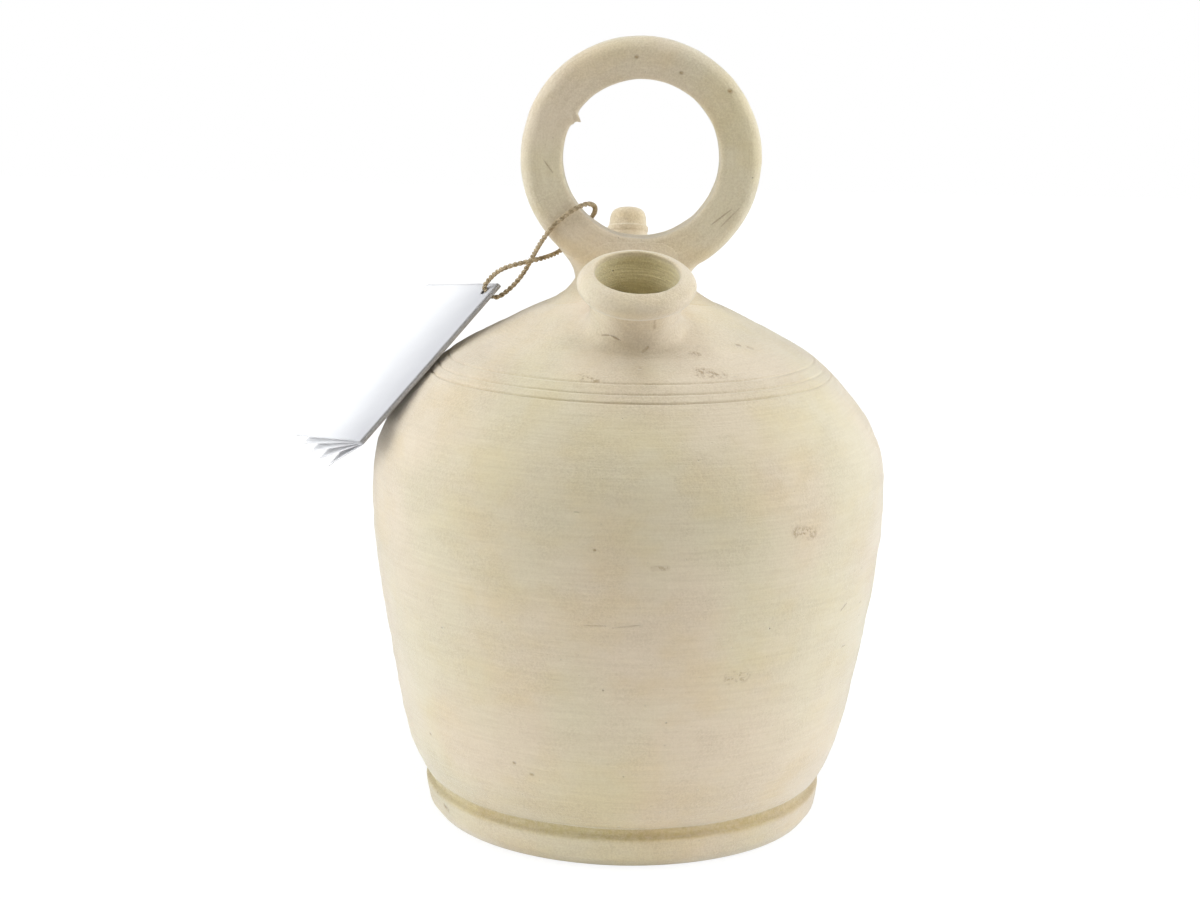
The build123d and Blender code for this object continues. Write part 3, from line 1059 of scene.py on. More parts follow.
    def shaft_distance(self, places: Array) -> Array:
        """Gives the distance from the drinking spout's shaft."""
        radius, height, _ = self.spout.polar(places)
        drops = [-drop for drop in self.spout_shaft_drops]
        return radius - np.interp(height, drops[::-1], self.spout_shaft[::-1])

    def joined(self, places: Array) -> tuple[Array, Array]:
        """Gives the distance from the whole clay surface, with and without what fills its joints."""
        ring, body = self.ring_distance(places), self.body_distance(places)
        neck, shaft = self.neck_distance(places), self.shaft_distance(places)
        crown = merged(ring, self.saddle_distance(places), self.ring_fillet)
        crown = merged(crown, body, self.saddle_fillet)
        crown = merged(crown, neck, self.mouth_fillet)
        crown = merged(crown, shaft, self.spout_fillet)
        touch = self.touch(places)
        return crown - touch, np.minimum(np.minimum(ring, body), np.minimum(neck, shaft)) - touch

    def distance(self, places: Array) -> Array:
        """Gives the distance from the whole clay surface, with its luted joints filled."""
        return self.joined(places)[0]

    def onto(self, place: Triple) -> Array:
        """Moves a place straight onto the clay nearby."""
        spot = np.array(place)
        if spot[2] > self.shoulder_share * self.height:
            for _ in range(6):
                spot = spot - self.distance(spot) * self.facing(spot)
            return spot
        radius, height, angle = self.core.polar(spot)
        side = self.outline[self.outline[:, 1] > self.edge_softness]
        nearest = side[lengths(side - (radius, height)).argmin()]
        return self.core.place(nearest[0], nearest[1], angle)

    def facing(self, places: Array) -> Array:
        """Gives the clay surface's outward direction at some places."""
        steps = 0.0002 * np.eye(3)
        slopes = [self.distance(places + step) - self.distance(places - step) for step in steps]
        return units(np.stack(slopes, axis=-1))


@dataclass
class ThrownBody:
    """The jug's closed body and foot, thrown in one piece on the wheel."""

    form: JugForm
    wall: float = 0.0050
    floor: float = 0.0070
    columns: int = 380
    cavity_columns: int = 96
    mouth_hole_radius: float = 0.0152
    mouth_hole_span: Pair = (-0.034, 0.030)
    spout_hole_radius: float = 0.0086
    spout_hole_span: Pair = (-0.050, 0.030)

    def paces(self, ways: Array) -> Array:
        """Gives how far apart the rows of points lie along the outline."""
        form = self.form
        spacing = np.where(ways < form.foot_radius - 0.004, 0.0080, 0.0026)
        foot_end = form.way_at_height(form.groove_top) + 0.003
        spacing = np.where((ways > form.foot_radius - 0.002) & (ways < foot_end), 0.00065, spacing)
        for line_way in form.line_ways:
            spacing = np.where(np.abs(ways - line_way) < 0.0014, 0.00026, spacing)
        return spacing

    def skin(self) -> Skin:
        """Gives the outside of the body with the marks of throwing."""
        form = self.form
        ways = paced(form.ways[-1], self.paces)
        line = placed_on(form.outline, ways)
        slope = np.gradient(line, ways, axis=0)
        out = units(np.stack([slope[:, 1], -slope[:, 0]], axis=-1))
        radius, height = line[:, :1], line[:, 1:]
        angle = round_angles(self.columns)[None, :]
        rise = form.ridges(angle, ways[:, None]) * np.clip(radius / 0.02, 0, 1)
        rise += form.touch(form.core.place(radius, height, angle)) * np.clip(height / 0.004, 0, 1)
        radius = np.clip(radius + out[:, :1] * rise, 0, None)
        height = np.clip(height + out[:, 1:] * rise, 0, None)
        return Skin(form.core.place(radius, height, angle), closed=False)

    def cavity(self) -> Skin:
        """Gives the hollow inside the body, one wall in from the outside."""
        form = self.form
        line = form.side_line()[::6]
        slope = units(np.gradient(line, axis=0))
        inner = line - self.wall * np.stack([slope[:, 1], -slope[:, 0]], axis=-1)
        inner = inner[inner[:, 1] > form.groove_top + 0.006]
        inner[-1, 0] = 0.0
        well = form.foot_top_radius - form.groove_depth - self.wall
        start = [(0.0, self.floor), (well, self.floor), (well, form.groove_top)]
        rows = softened(np.vstack((start, inner)), 0.0030)[::3]
        rows[0, 0] = rows[-1, 0] = 0.0
        angle = round_angles(self.cavity_columns)[None, :]
        return Skin(form.core.place(rows[:, :1], rows[:, 1:], angle), closed=False)

    def build(self) -> bpy.types.Mesh:
        """Builds the body's mesh: outside, hollow and the two bores."""
        form = self.form
        outside, faces = self.skin().parts()
        inside, hollow = self.cavity().parts()
        places = np.vstack((outside, inside))
        quads = np.vstack((faces, hollow[:, ::-1] + len(outside)))
        piece = shown(woven("thrown_clay_body", places, quads, {}), "thrown_clay_body")
        mesh = drilled(piece, [
            rod(form.mouth, self.mouth_hole_radius, self.mouth_hole_span, 64),
            rod(form.spout, self.spout_hole_radius, self.spout_hole_span, 64),
        ])
        store(mesh, self.facts(points_of(mesh)))
        mesh.polygons.foreach_set("use_smooth", [True] * len(mesh.polygons))
        return mesh

    def facts(self, places: Array) -> dict[str, Array]:
        """Gives what the clay's material reads on the body."""
        form = self.form
        radius, height, angle = form.core.polar(places)
        tree = KDTree(len(form.outline))
        for index, (out, up) in enumerate(form.outline):
            tree.insert((out, up, 0.0), index)
        tree.balance()
        near = np.array([tree.find((out, up, 0.0))[1] for out, up in zip(radius, height)])
        mouth, spout = form.mouth.polar(places)[0], form.spout.polar(places)[0]
        turned = ease(0.030, 0.050, mouth) * ease(0.016, 0.028, spout)
        # The foot's groove gets painted shade.
        middle = form.foot_height + form.groove_width / 2
        groove = 1 - ease(form.groove_width * 0.35, form.groove_width * 0.75, np.abs(height - middle))
        return {"wheel": wound(0.1, angle, form.ways[near]), "turned": turned, "stain": groove * 0.8}


@dataclass
class TurnedPiece:
    """What the mouth and the spout share: a turned wall, a luted foot and a tube down its hole."""

    form: JugForm
    sink: float = 0.00015
    seat_depth: float = 0.0025
    name: str = ""
    columns: int = 300
    flare_rows: int = 30
    skirt_rows: int = 12
    fan_reach: float = 0.0130
    skirt_radius: float = 0.0370
    tube_radius: float = 0.0166
    hole_radius: float = 0.0140
    hole_bottom: Pair = (0.0, 0.0)
    fine_step: float = 0.00018
    plain_step: float = 0.00060
    crisp_reach: float = 0.0012
    edge_softness: float = 0.00018
    inside_radius: float = 0.0160
    hidden_share: float = 0.0

    @property
    def axle(self) -> Axle:
        """Gives the axis that the piece is turned about."""
        raise NotImplementedError

    def section(self) -> Array:
        """Gives the wall's section from inside the bore over the lip down to the neck's foot."""
        raise NotImplementedError

    def crisp_ways(self, line: Array) -> list[float]:
        """Gives the ways along the section where it has a crisp edge."""
        raise NotImplementedError

    @staticmethod
    def edge_ways(line: Array, height: float) -> Pair:
        """Gives the ways along the section of its crest and of its outside at a height."""
        ways = stations(line)
        crest = ways[line[:, 1].argmax()]
        outside = ways > crest
        return crest, ways[outside][np.abs(line[outside, 1] - height).argmin()]

    def wall_rows(self, angle: Array) -> tuple[list[Array], Array]:
        """Gives the wall's rows of points, and the last point of its section."""
        line = softened(self.section(), self.edge_softness)
        crisp = self.crisp_ways(line)

        def step_at(way: Array) -> Array:
            """Gives the spacing of the rows: finer near each crisp edge."""
            near = np.min([np.abs(way - spot) for spot in crisp], axis=0) < self.crisp_reach
            return np.where(near, self.fine_step, self.plain_step)

        line = placed_on(line, paced(stations(line)[-1], step_at))
        slope = units(np.gradient(line, axis=0))
        rows = []
        for (radius, height), (along, climb) in zip(line, slope):
            rise = self.form.touch(self.axle.place(radius, height, angle))
            rows.append(self.axle.place(radius - climb * rise, height + along * rise, angle))
        return rows, line[-1]

    def build(self) -> bpy.types.Mesh:
        """Builds the piece's mesh."""
        axle, angle, form = self.axle, round_angles(self.columns), self.form
        rows, (radius, height) = self.wall_rows(angle)
        start = radius + self.fan_reach
        out = axle.place(1.0, 0.0, angle) - axle.origin
        origin = axle.place(start, height, angle)
        for tilt in np.linspace(0, math.pi / 2, self.flare_rows + 1)[1:]:
            rows.append(marched(origin, -(out * math.cos(tilt) + axle.up * math.sin(tilt)), form.distance))
        front = 1 - self.hidden_share * ease(0.1, 0.6, np.sin(angle))
        for step in np.linspace(0, self.skirt_radius - start, self.skirt_rows + 1)[1:]:
            origin = axle.place(start + step * front, height, angle)
            rows.append(marched(origin, np.broadcast_to(-axle.up, origin.shape), form.distance))
        bottom = self.hole_bottom[0] + self.hole_bottom[1] * np.sin(angle)
        tube = axle.place(self.tube_radius, bottom + self.seat_depth * 2, angle)
        edge = rows.pop()
        down = -form.facing(edge)
        below = edge + down * self.seat_depth
        rows += [edge + down * self.sink, below, (below + tube) / 2 + down * self.seat_depth / 4, tube]
        for end in (self.tube_radius - self.seat_depth / 4, self.hole_radius):
            rows.append(axle.place(end, bottom, angle))
        places, faces = Skin(np.array(rows)).parts()
        return woven(self.name, places, faces, self.facts(places))

    def facts(self, places: Array) -> dict[str, Array]:
        """Gives what the clay's material reads on the piece."""
        radius, height, angle = self.axle.polar(places)
        turned = 1 - ease(self.skirt_radius * 0.55, self.skirt_radius * 0.95, radius)
        # inside marks where the bores are painted with bounce light.
        inside = (radius < self.inside_radius) * (1 - ease(0.0015, 0.0040, height))
        wheel = wound(0.03, angle, height + radius)
        return {"wheel": wheel, "turned": turned + 1.3 * inside, "inside": inside}


@dataclass
class FillingMouth(TurnedPiece):
    """The filling mouth with its rolled rim, luted on the shoulder."""

    name: str = "filling_mouth_clay"
    throat_drop: float = 0.0080
    hole_drop: float = 0.0170
    lip_inner_radius: float = 0.0158
    lip_width: float = 0.0006
    rim_radius: float = 0.0221
    rim_half_height: float = 0.00435
    rim_underside: float = -0.0056
    neck_top: float = -0.0086
    hole_bottom: Pair = (-0.0228, 0.0016)
    hidden_share: float = 0.93

    @property
    def axle(self) -> Axle:
        """Gives the mouth's axis."""
        return self.form.mouth

    def section(self) -> Array:
        """Gives the wall's section from inside the bore over the lip down to the neck's foot."""
        half, inner, bore = self.rim_half_height, self.lip_inner_radius, self.hole_radius
        crest = inner + self.lip_width
        throat = [(bore, -self.throat_drop), (inner - self.lip_width / 3, -half / 4), (inner, half * 0.92)]
        throat = SmoothLine(throat, (0, 1), (0.1, 1))
        belly = (crest + 0.66 * (self.rim_radius - crest), 0.62 * half)
        under = (self.form.neck_radius + self.lip_width, self.rim_underside)
        roll = [(crest, half), belly, (self.rim_radius, -half / 6), under]
        roll = SmoothLine(roll, (1, -0.30), (-1, -0.33))
        low, foot = (bore, -self.hole_drop), (self.form.neck_radius, self.neck_top)
        return np.vstack((low, throat.sample(0.0003), roll.sample(0.0003), foot))

    def crisp_ways(self, line: Array) -> list[float]:
        """Gives the way along the section of its crest and of the crease under the rim."""
        return [*self.edge_ways(line, self.rim_underside)]


@dataclass
class DrinkingSpout(TurnedPiece):
    """The fine spout behind the handle, with its collar."""

    name: str = "drinking_spout_clay"
    bore_radius: float = 0.0022
    tip_radius: float = 0.0063
    tip_rounding: float = 0.0014
    collar_drop: float = 0.0075
    collar_height: float = 0.0024
    collar_radius: float = 0.0083
    collar_edge: float = 0.0004
    shaft_top_radius: float = 0.0077
    bore_depth: float = 0.0200
    neck_top: float = -0.0200
    hole_bottom: Pair = (-0.0430, 0.0)
    hole_radius: float = 0.0070
    tube_radius: float = 0.0094
    skirt_radius: float = 0.0215
    fan_reach: float = 0.0085
    columns: int = 160
    flare_rows: int = 18
    skirt_rows: int = 6
    inside_radius: float = 0.0030

    @property
    def axle(self) -> Axle:
        """Gives the spout's axis."""
        return self.form.spout

    def section(self) -> Array:
        """Gives the wall's section from inside the bore over the tip down to the shaft's foot."""
        low = -self.collar_drop - self.collar_height
        edge = self.collar_edge
        tip = SmoothLine(
            [(self.bore_radius + edge, 0.0), (self.tip_radius * 0.78, -self.tip_rounding * 0.28),
             (self.tip_radius, -self.tip_rounding), (self.shaft_top_radius, -self.collar_drop)],
            (1, 0), (0.2, -1),
        )
        foot = float(np.interp(-self.neck_top, self.form.spout_shaft_drops, self.form.spout_shaft))
        start = [(self.bore_radius * 2, -self.bore_depth), (self.bore_radius, -edge)]
        collar = [
            (self.collar_radius - edge, -self.collar_drop), (self.collar_radius, -self.collar_drop - edge),
            (self.collar_radius, low + edge), (self.collar_radius - edge, low), (foot, self.neck_top),
        ]
        return np.vstack((start, tip.sample(0.0003), collar))

    def crisp_ways(self, line: Array) -> list[float]:
        """Gives the way along the section of its tip and of its collar."""
        tip, collar = self.edge_ways(line, -self.collar_drop)
        return [tip, collar, collar + self.collar_height]


@dataclass
class HandleSaddle:
    """Clay under the ring handle, smoothed onto the ring above and the dome below."""

    form: JugForm
    step: float = 0.00075
    space: tuple[Triple, Triple] = ((-0.050, -0.032, 0.186), (0.052, 0.030, 0.252))
    feather: Pair = (0.00003, 0.00011)
    margin: float = 0.0030
    depth: float = 0.0025
    mouth_reach: Pair = (0.0285, 0.0298)
    spout_reach: Pair = (0.0145, 0.0160)
    throat_radius: float = 0.0157
    under: float = 0.00008
    settling: int = 3

    def field(self, places: Array) -> Array:
        """Gives values below 0 inside the clay that belongs to the saddle."""
        form = self.form
        whole, plain = form.joined(places)
        away = 1 - ease(*self.feather, plain - whole)
        below = -self.depth - form.body_distance(places)
        mouth, spout = form.mouth.polar(places)[0], form.spout.polar(places)[0]
        hidden = 2 - ease(*self.mouth_reach, mouth) - ease(*self.spout_reach, spout)
        low, high = np.array(self.space)
        wall = (np.abs(places - (low + high) / 2) - (high - low) / 2).max(axis=-1) + 2 * self.step
        own = whole + away * (np.clip(-whole, 0, None) + self.margin) + hidden * self.under
        return np.maximum(np.maximum(own, below), np.maximum(wall, self.throat_radius - mouth))

    def build(self) -> bpy.types.Mesh:
        """Builds the saddle's mesh."""
        form = self.form
        places, faces = netted(self.field, *np.array(self.space), self.step)
        for _ in range(self.settling):
            away = self.field(places)
            slopes = [self.field(places + self.step / 4 * way) - away for way in np.eye(3)]
            slope = np.stack(slopes, axis=-1) / (self.step / 4)
            steep = np.maximum((slope**2).sum(axis=-1), 0.25)
            move = -(away / steep)[:, None] * slope
            far = np.maximum(lengths(move) / (self.step / 3), 1)
            places = places + move / far[:, None]
        radius, depth, angle = form.ring.polar(places)
        facts = {"wheel": wound(0.04, angle, radius + depth), "turned": np.full(len(places), 0.3)}
        # Painted shade at the saddle's foot, where it meets the dome.
        facts["stain"] = 0.2 * ease(0.215, 0.204, places[:, 2])
        return woven("handle_saddle_clay", places, outwards(places, faces), facts)


@dataclass
class RingHandle:
    """The ring handle, a thick band of clay pulled and bent round."""

    form: JugForm
    columns: int = 640
    section_points: int = 88
    burr_angle: float = math.radians(150)
    burr_size: float = 0.0022
    burr_height: float = 0.0020

    def build(self) -> bpy.types.Mesh:
        """Builds the ring's mesh."""
        form, axle = self.form, self.form.ring
        angle = round_angles(self.columns)
        turn = round_angles(720)
        middle = (form.ring_inner_radius + form.ring_radius) / 2
        out = np.stack([np.cos(turn), np.sin(turn)], axis=-1)
        gone = np.zeros_like(turn)
        for _ in range(60):
            flat = axle.place(middle + gone * out[:, 0], gone * out[:, 1], 1.0)
            gone -= 0.8 * form.plain_ring_distance(flat)
        section = np.stack([middle + gone * out[:, 0], gone * out[:, 1]], axis=-1)
        section = np.vstack((section, section[:1]))
        section = placed_on(section, np.linspace(0, stations(section)[-1], self.section_points + 1))[:-1]
        slope = units(np.roll(section, -1, axis=0) - np.roll(section, 1, axis=0))
        face = np.stack([slope[:, 1], -slope[:, 0]], axis=-1)
        radius, depth = section[:, :1], section[:, 1:]
        plain = axle.place(radius, depth, angle)
        rise = form.touch(plain) + form.ring_relief(plain)
        inner = form.ring_inner_radius
        edge = np.hypot((angle - self.burr_angle) * inner, depth - form.ring_inner_half_depth * 0.8)
        edge = np.hypot(edge, (radius - inner) * 0.7)
        lump = np.exp(-((edge / self.burr_size) ** 2)) * (1 + 0.8 * form.ripple.at(plain, 0.0011))
        rise += self.burr_height * lump
        rows = axle.place(radius + face[:, :1] * rise, depth + face[:, 1:] * rise, angle)
        wheel = wound(0.05, angle, stations(section)[:, None]).reshape(-1, 3)
        places, faces = Skin(rows).parts()
        facts = {"wheel": wheel, "turned": np.full(len(places), 0.9)}
        return woven("ring_handle_clay", places, faces, facts)


@dataclass
class TwineLoop:
    """Loop of two-ply jute twine round the ring and through the card, with its knot."""

    diameter: float = 0.0018
    pitch: float = 0.0043
    strand_share: float = 0.305
    offset_share: float = 0.245
    step: float = 0.00032
    fibre_density: float = 420000.0
    fibre_radius: float = 0.000022
    fibre_bend: tuple[Triple, ...] = (
        (0.0, 0.0, -0.0002), (0.0, 0.0003, 0.0003), (0.0003, 0.0008, 0.0005), (0.0006, 0.0012, 0.0003),
    )
    strand_sides: int = 10
    fibre_sides: int = 3
    route: tuple[Triple, ...] = (
        (-0.0207, 0.0129, 0.2283), (-0.0185, 0.0124, 0.2312), (-0.0160, 0.0096, 0.2339),
        (-0.0148, 0.0035, 0.2368), (-0.0152, -0.0030, 0.2393), (-0.0177, -0.0083, 0.2406),
        (-0.0218, -0.0107, 0.2391), (-0.0265, -0.0112, 0.2360), (-0.0312, -0.0111, 0.2315),
        (-0.0344, -0.0088, 0.2270), (-0.0370, -0.0044, 0.2225), (-0.0394, 0.0012, 0.2176),
        (-0.0418, 0.0036, 0.2128), (-0.0449, 0.0050, 0.2084), (-0.0488, 0.0062, 0.2043),
        (-0.0536, 0.0057, 0.2011), (-0.0583, 0.0055, 0.2054), (-0.0562, 0.0040, 0.2087),
        (-0.0531, 0.0008, 0.2122), (-0.0494, -0.0016, 0.2146), (-0.0445, -0.0034, 0.2163),
        (-0.0396, -0.0042, 0.2176), (-0.0355, -0.0024, 0.2184), (-0.0320, 0.0026, 0.2190),
        (-0.0286, 0.0080, 0.2201), (-0.0252, 0.0124, 0.2229), (-0.0225, 0.0129, 0.2261),
    )
    knot_middle: Triple = (-0.0216, 0.0130, 0.2272)
    knot_size: float = 0.0019
    tails: tuple[tuple[Triple, ...], ...] = (
        (
            (-0.0212, 0.0135, 0.2275), (-0.0206, 0.0146, 0.2250),
            (-0.0201, 0.0150, 0.2228), (-0.0198, 0.0152, 0.2208),
        ),
        (
            (-0.0219, 0.0132, 0.2268), (-0.0220, 0.0152, 0.2248),
            (-0.0217, 0.0168, 0.2230), (-0.0214, 0.0176, 0.2212),
        ),
    )

    @property
    def sizes(self) -> dict[str, float]:
        """Gives what the node tree is told, by the name of its input."""
        return {
            "Diameter": self.diameter, "Pitch": self.pitch, "Strand Share": self.strand_share,
            "Offset Share": self.offset_share, "Step": self.step, "Fibre Density": self.fibre_density,
            "Fibre Radius": self.fibre_radius,
        }

    def curve(self, name: str, points: Sequence[Triple]) -> bpy.types.Object:
        """Makes a smooth curve with some control points."""
        data = bpy.data.curves.new(name, "CURVE")
        data.dimensions = "3D"
        data.resolution_u = 12
        spline = data.splines.new("NURBS")
        spline.points.add(len(points) - 1)
        for point, place in zip(spline.points, points):
            point.co = (*place, 1.0)
        spline.order_u = 3
        spline.use_endpoint_u = True
        line = bpy.data.objects.new(name, data)
        bpy.context.scene.collection.objects.link(line)
        return line

    def knot_points(self) -> list[Triple]:
        """Gives the control points of an overhand knot's crossing turns."""
        middle = np.array(self.knot_middle)
        points = []
        for step in range(19):
            t = step / 18 * FULL_TURN
            x = math.sin(t) + 1.6 * math.sin(2 * t)
            y = math.cos(t) - 1.6 * math.cos(2 * t)
            z = -1.1 * math.sin(3 * t)
            points.append(tuple(middle + self.knot_size / 2.4 * np.array((x * 0.9, z * 0.8, y * 0.9))))
        return points

    def tree(self, material: bpy.types.Material) -> tuple[bpy.types.NodeTree, dict[str, str]]:
        """Builds the node tree that lays two twisted strands along a curve.

        Args:
            material: what the strands are made of.

        Returns:
            The tree and the identifiers of its named inputs.
        """
        tree = bpy.data.node_groups.new("two_ply_twine", "GeometryNodeTree")
        names = {}
        face = tree.interface
        face.new_socket("Line", in_out="INPUT", socket_type="NodeSocketGeometry")
        for name in self.sizes:
            socket = face.new_socket(name, in_out="INPUT", socket_type="NodeSocketFloat")
            names[name] = socket.identifier
        face.new_socket("Strands", in_out="OUTPUT", socket_type="NodeSocketGeometry")
        desk = Desk(tree)
        given = desk.node("NodeGroupInput")
        diameter, pitch = given.of("Diameter"), given.of("Pitch")
        steps = {"Curve": given, "Length": given.of("Step")}
        even = desk.node("GeometryNodeResampleCurve", {"mode": "LENGTH"}, steps)
        way = desk.node("GeometryNodeSplineParameter", output="Length")
        tangent = desk.node("GeometryNodeInputTangent")
        normal = desk.node("GeometryNodeInputNormal")
        strands = []
        for turn in (0.0, math.pi):
            turned = {"Vector": normal, "Axis": tangent, "Angle": way / pitch * FULL_TURN + turn}
            spun = desk.node("ShaderNodeVectorRotate", {"rotation_type": "AXIS_ANGLE"}, turned)
            offset = desk.vector("SCALE", {0: spun, "Scale": diameter * given.of("Offset Share")})
            moved = desk.node("GeometryNodeSetPosition", {}, {"Geometry": even, "Offset": offset})
            strands.append(self.tube(desk, moved, diameter * given.of("Strand Share"), self.strand_sides))
        both = desk.node("GeometryNodeJoinGeometry")
        for strand in strands + [self.fuzz(desk, given, strand) for strand in strands]:
            tree.links.new(strand.socket, both.socket.node.inputs[0])
        real = desk.node("GeometryNodeRealizeInstances", {}, {"Geometry": both})
        smooth = desk.node("GeometryNodeSetShadeSmooth", {}, {"Geometry": real})
        dressed = desk.node("GeometryNodeSetMaterial", {}, {"Geometry": smooth, "Material": material})
        desk.node("NodeGroupOutput", {}, {"Strands": dressed})
        return tree, names

    @staticmethod
    def tube(desk: Desk, line: Wire, radius: Wire, sides: int) -> Wire:
        """Lays a closed tube along a curve.

        Args:
            desk: adds nodes to the tree.
            line: the curve.
            radius: the tube's radius.
            sides: how many sides it has.

        Returns:
            The tube's mesh.
        """
        ring = desk.node("GeometryNodeCurvePrimitiveCircle", {}, {"Resolution": sides, "Radius": radius})
        inputs = {"Curve": line, "Profile Curve": ring, "Fill Caps": True}
        return desk.node("GeometryNodeCurveToMesh", {}, inputs)

    def fuzz(self, desk: Desk, given: Wire, strand: Wire) -> Wire:
        """Scatters loose fibres that stand off a strand.

        Args:
            desk: adds nodes to the tree.
            given: the tree's inputs.
            strand: the strand's mesh.

        Returns:
            The fibres, still as instances.
        """
        spots = desk.node(
            "GeometryNodeDistributePointsOnFaces", {"distribute_method": "RANDOM"},
            {"Mesh": strand, "Density": given.of("Fibre Density"), "Seed": 5},
        )
        bend = dict(zip(("Start", "Start Handle", "End Handle", "End"), self.fibre_bend))
        bend["Resolution"] = self.fibre_sides
        arc = desk.node("GeometryNodeCurvePrimitiveBezierSegment", {}, bend)
        hair = self.tube(desk, arc, given.of("Fibre Radius"), self.fibre_sides)
        lean = {0: (-0.5, -0.5, -math.pi), 1: (0.5, 0.5, math.pi), "Seed": 6}
        turn = desk.node("FunctionNodeRandomValue", {"data_type": "FLOAT_VECTOR"}, lean)
        turn = desk.node("FunctionNodeEulerToRotation", {}, {0: turn})
        turns = {"Rotation": spots.of("Rotation"), "Rotate By": turn}
        euler = desk.node("FunctionNodeRotateRotation", {"rotation_space": "LOCAL"}, turns)
        shares = {2: 0.35, 3: 1.0, "Seed": 7}
        size = desk.node("FunctionNodeRandomValue", {"data_type": "FLOAT"}, shares, output=1)
        inputs = {"Points": spots, "Instance": hair, "Rotation": euler, "Scale": size}
        return desk.node("GeometryNodeInstanceOnPoints", {}, inputs)

    def strands(self, name: str, line: bpy.types.Object, built: tuple) -> bpy.types.Object:
        """Lays the twisted strands along a curve.

        Args:
            name: the piece's name.
            line: the curve, which is removed.
            built: the node tree and its input identifiers.

        Returns:
            The piece.
        """
        tree, names = built
        lay = line.modifiers.new("twist", "NODES")
        lay.node_group = tree
        for key, size in self.sizes.items():
            lay[names[key]] = size
        line.name = name + "_line"
        mesh = settled(line)
        mesh.name = name
        return shown(mesh, name)


@dataclass(frozen=True)
class Jute:
    """Brown twisted jute."""

    name: str = "brown_jute"
    pale: Colour = (0.700, 0.580, 0.400)
    deep: Colour = (0.260, 0.190, 0.105)
    fibre_size: float = 0.00022
    tuft_size: float = 0.0016
    relief: float = 0.00018

    def material(self) -> bpy.types.Material:
        """Builds the twine's material, which reads Object coordinates."""
        material, desk = blank(self.name)
        place = desk.node("ShaderNodeTexCoord", output="Object")
        fibres = desk.noise(place, self.fibre_size, 3.0, 0.7)
        tufts = desk.noise(place, self.tuft_size, 2.0)
        colour = desk.mixed((fibres * 0.6 + tufts * 0.5).ramp(0.35, 0.72), self.deep, self.pale)
        desk.surfaced(colour, fibres, self.relief, Roughness=0.95, Specular_IOR_Level=0.2)
        return material


@dataclass(frozen=True)
class Paper:
    """Smooth white card with faint fibres, and painted shade that greys it along the spine."""

    name: str
    # Grey at the spine, fading to bright across the page: painted shade along the spine.
    colour: Colour = (0.57, 0.57, 0.60)
    bright: Colour = (0.93, 0.93, 0.95)
    fibre_tint: Colour = (0.960, 0.960, 0.970)
    # Painted shade on the spine's side, over the fade.
    spine_shade_tint: Colour = (0.66, 0.645, 0.62)
    shadow_reach: Pair = (0.001, 0.036)
    fibre_size: float = 0.0009
    cloud_size: float = 0.014
    relief: float = 0.00006

    def material(self) -> bpy.types.Material:
        """Builds the card's material, which reads Object coordinates and the attributes page and fold.

        Returns:
            The material; page is the way across from the spine and the way down, and fold is 1 at the spine,
            where more shade is painted.
        """
        material, desk = blank(self.name)
        place = desk.node("ShaderNodeTexCoord", output="Object")
        across = desk.node("ShaderNodeSeparateXYZ", {}, {0: desk.attribute("page", "Vector")}, output="X")
        fibres = desk.noise(place, self.fibre_size, 4.0, 0.65)
        clouds = desk.noise(place, self.cloud_size, 2.0)
        # Painted shade: grey at the spine fading to bright, and darker still where fold is.
        colour = desk.layered(
            desk.mixed(across.ramp(*self.shadow_reach) * 0.8 + clouds * 0.2, self.colour, self.bright),
            (fibres.ramp(0.45, 0.75) * 0.4, self.fibre_tint),
            (desk.attribute("fold") * (0.6 + 0.4 * fibres.ramp(0.35, 0.6)), self.spine_shade_tint),
        )
        desk.surfaced(colour, fibres, self.relief, strength=0.4, Roughness=0.72, Specular_IOR_Level=0.3)
        return material


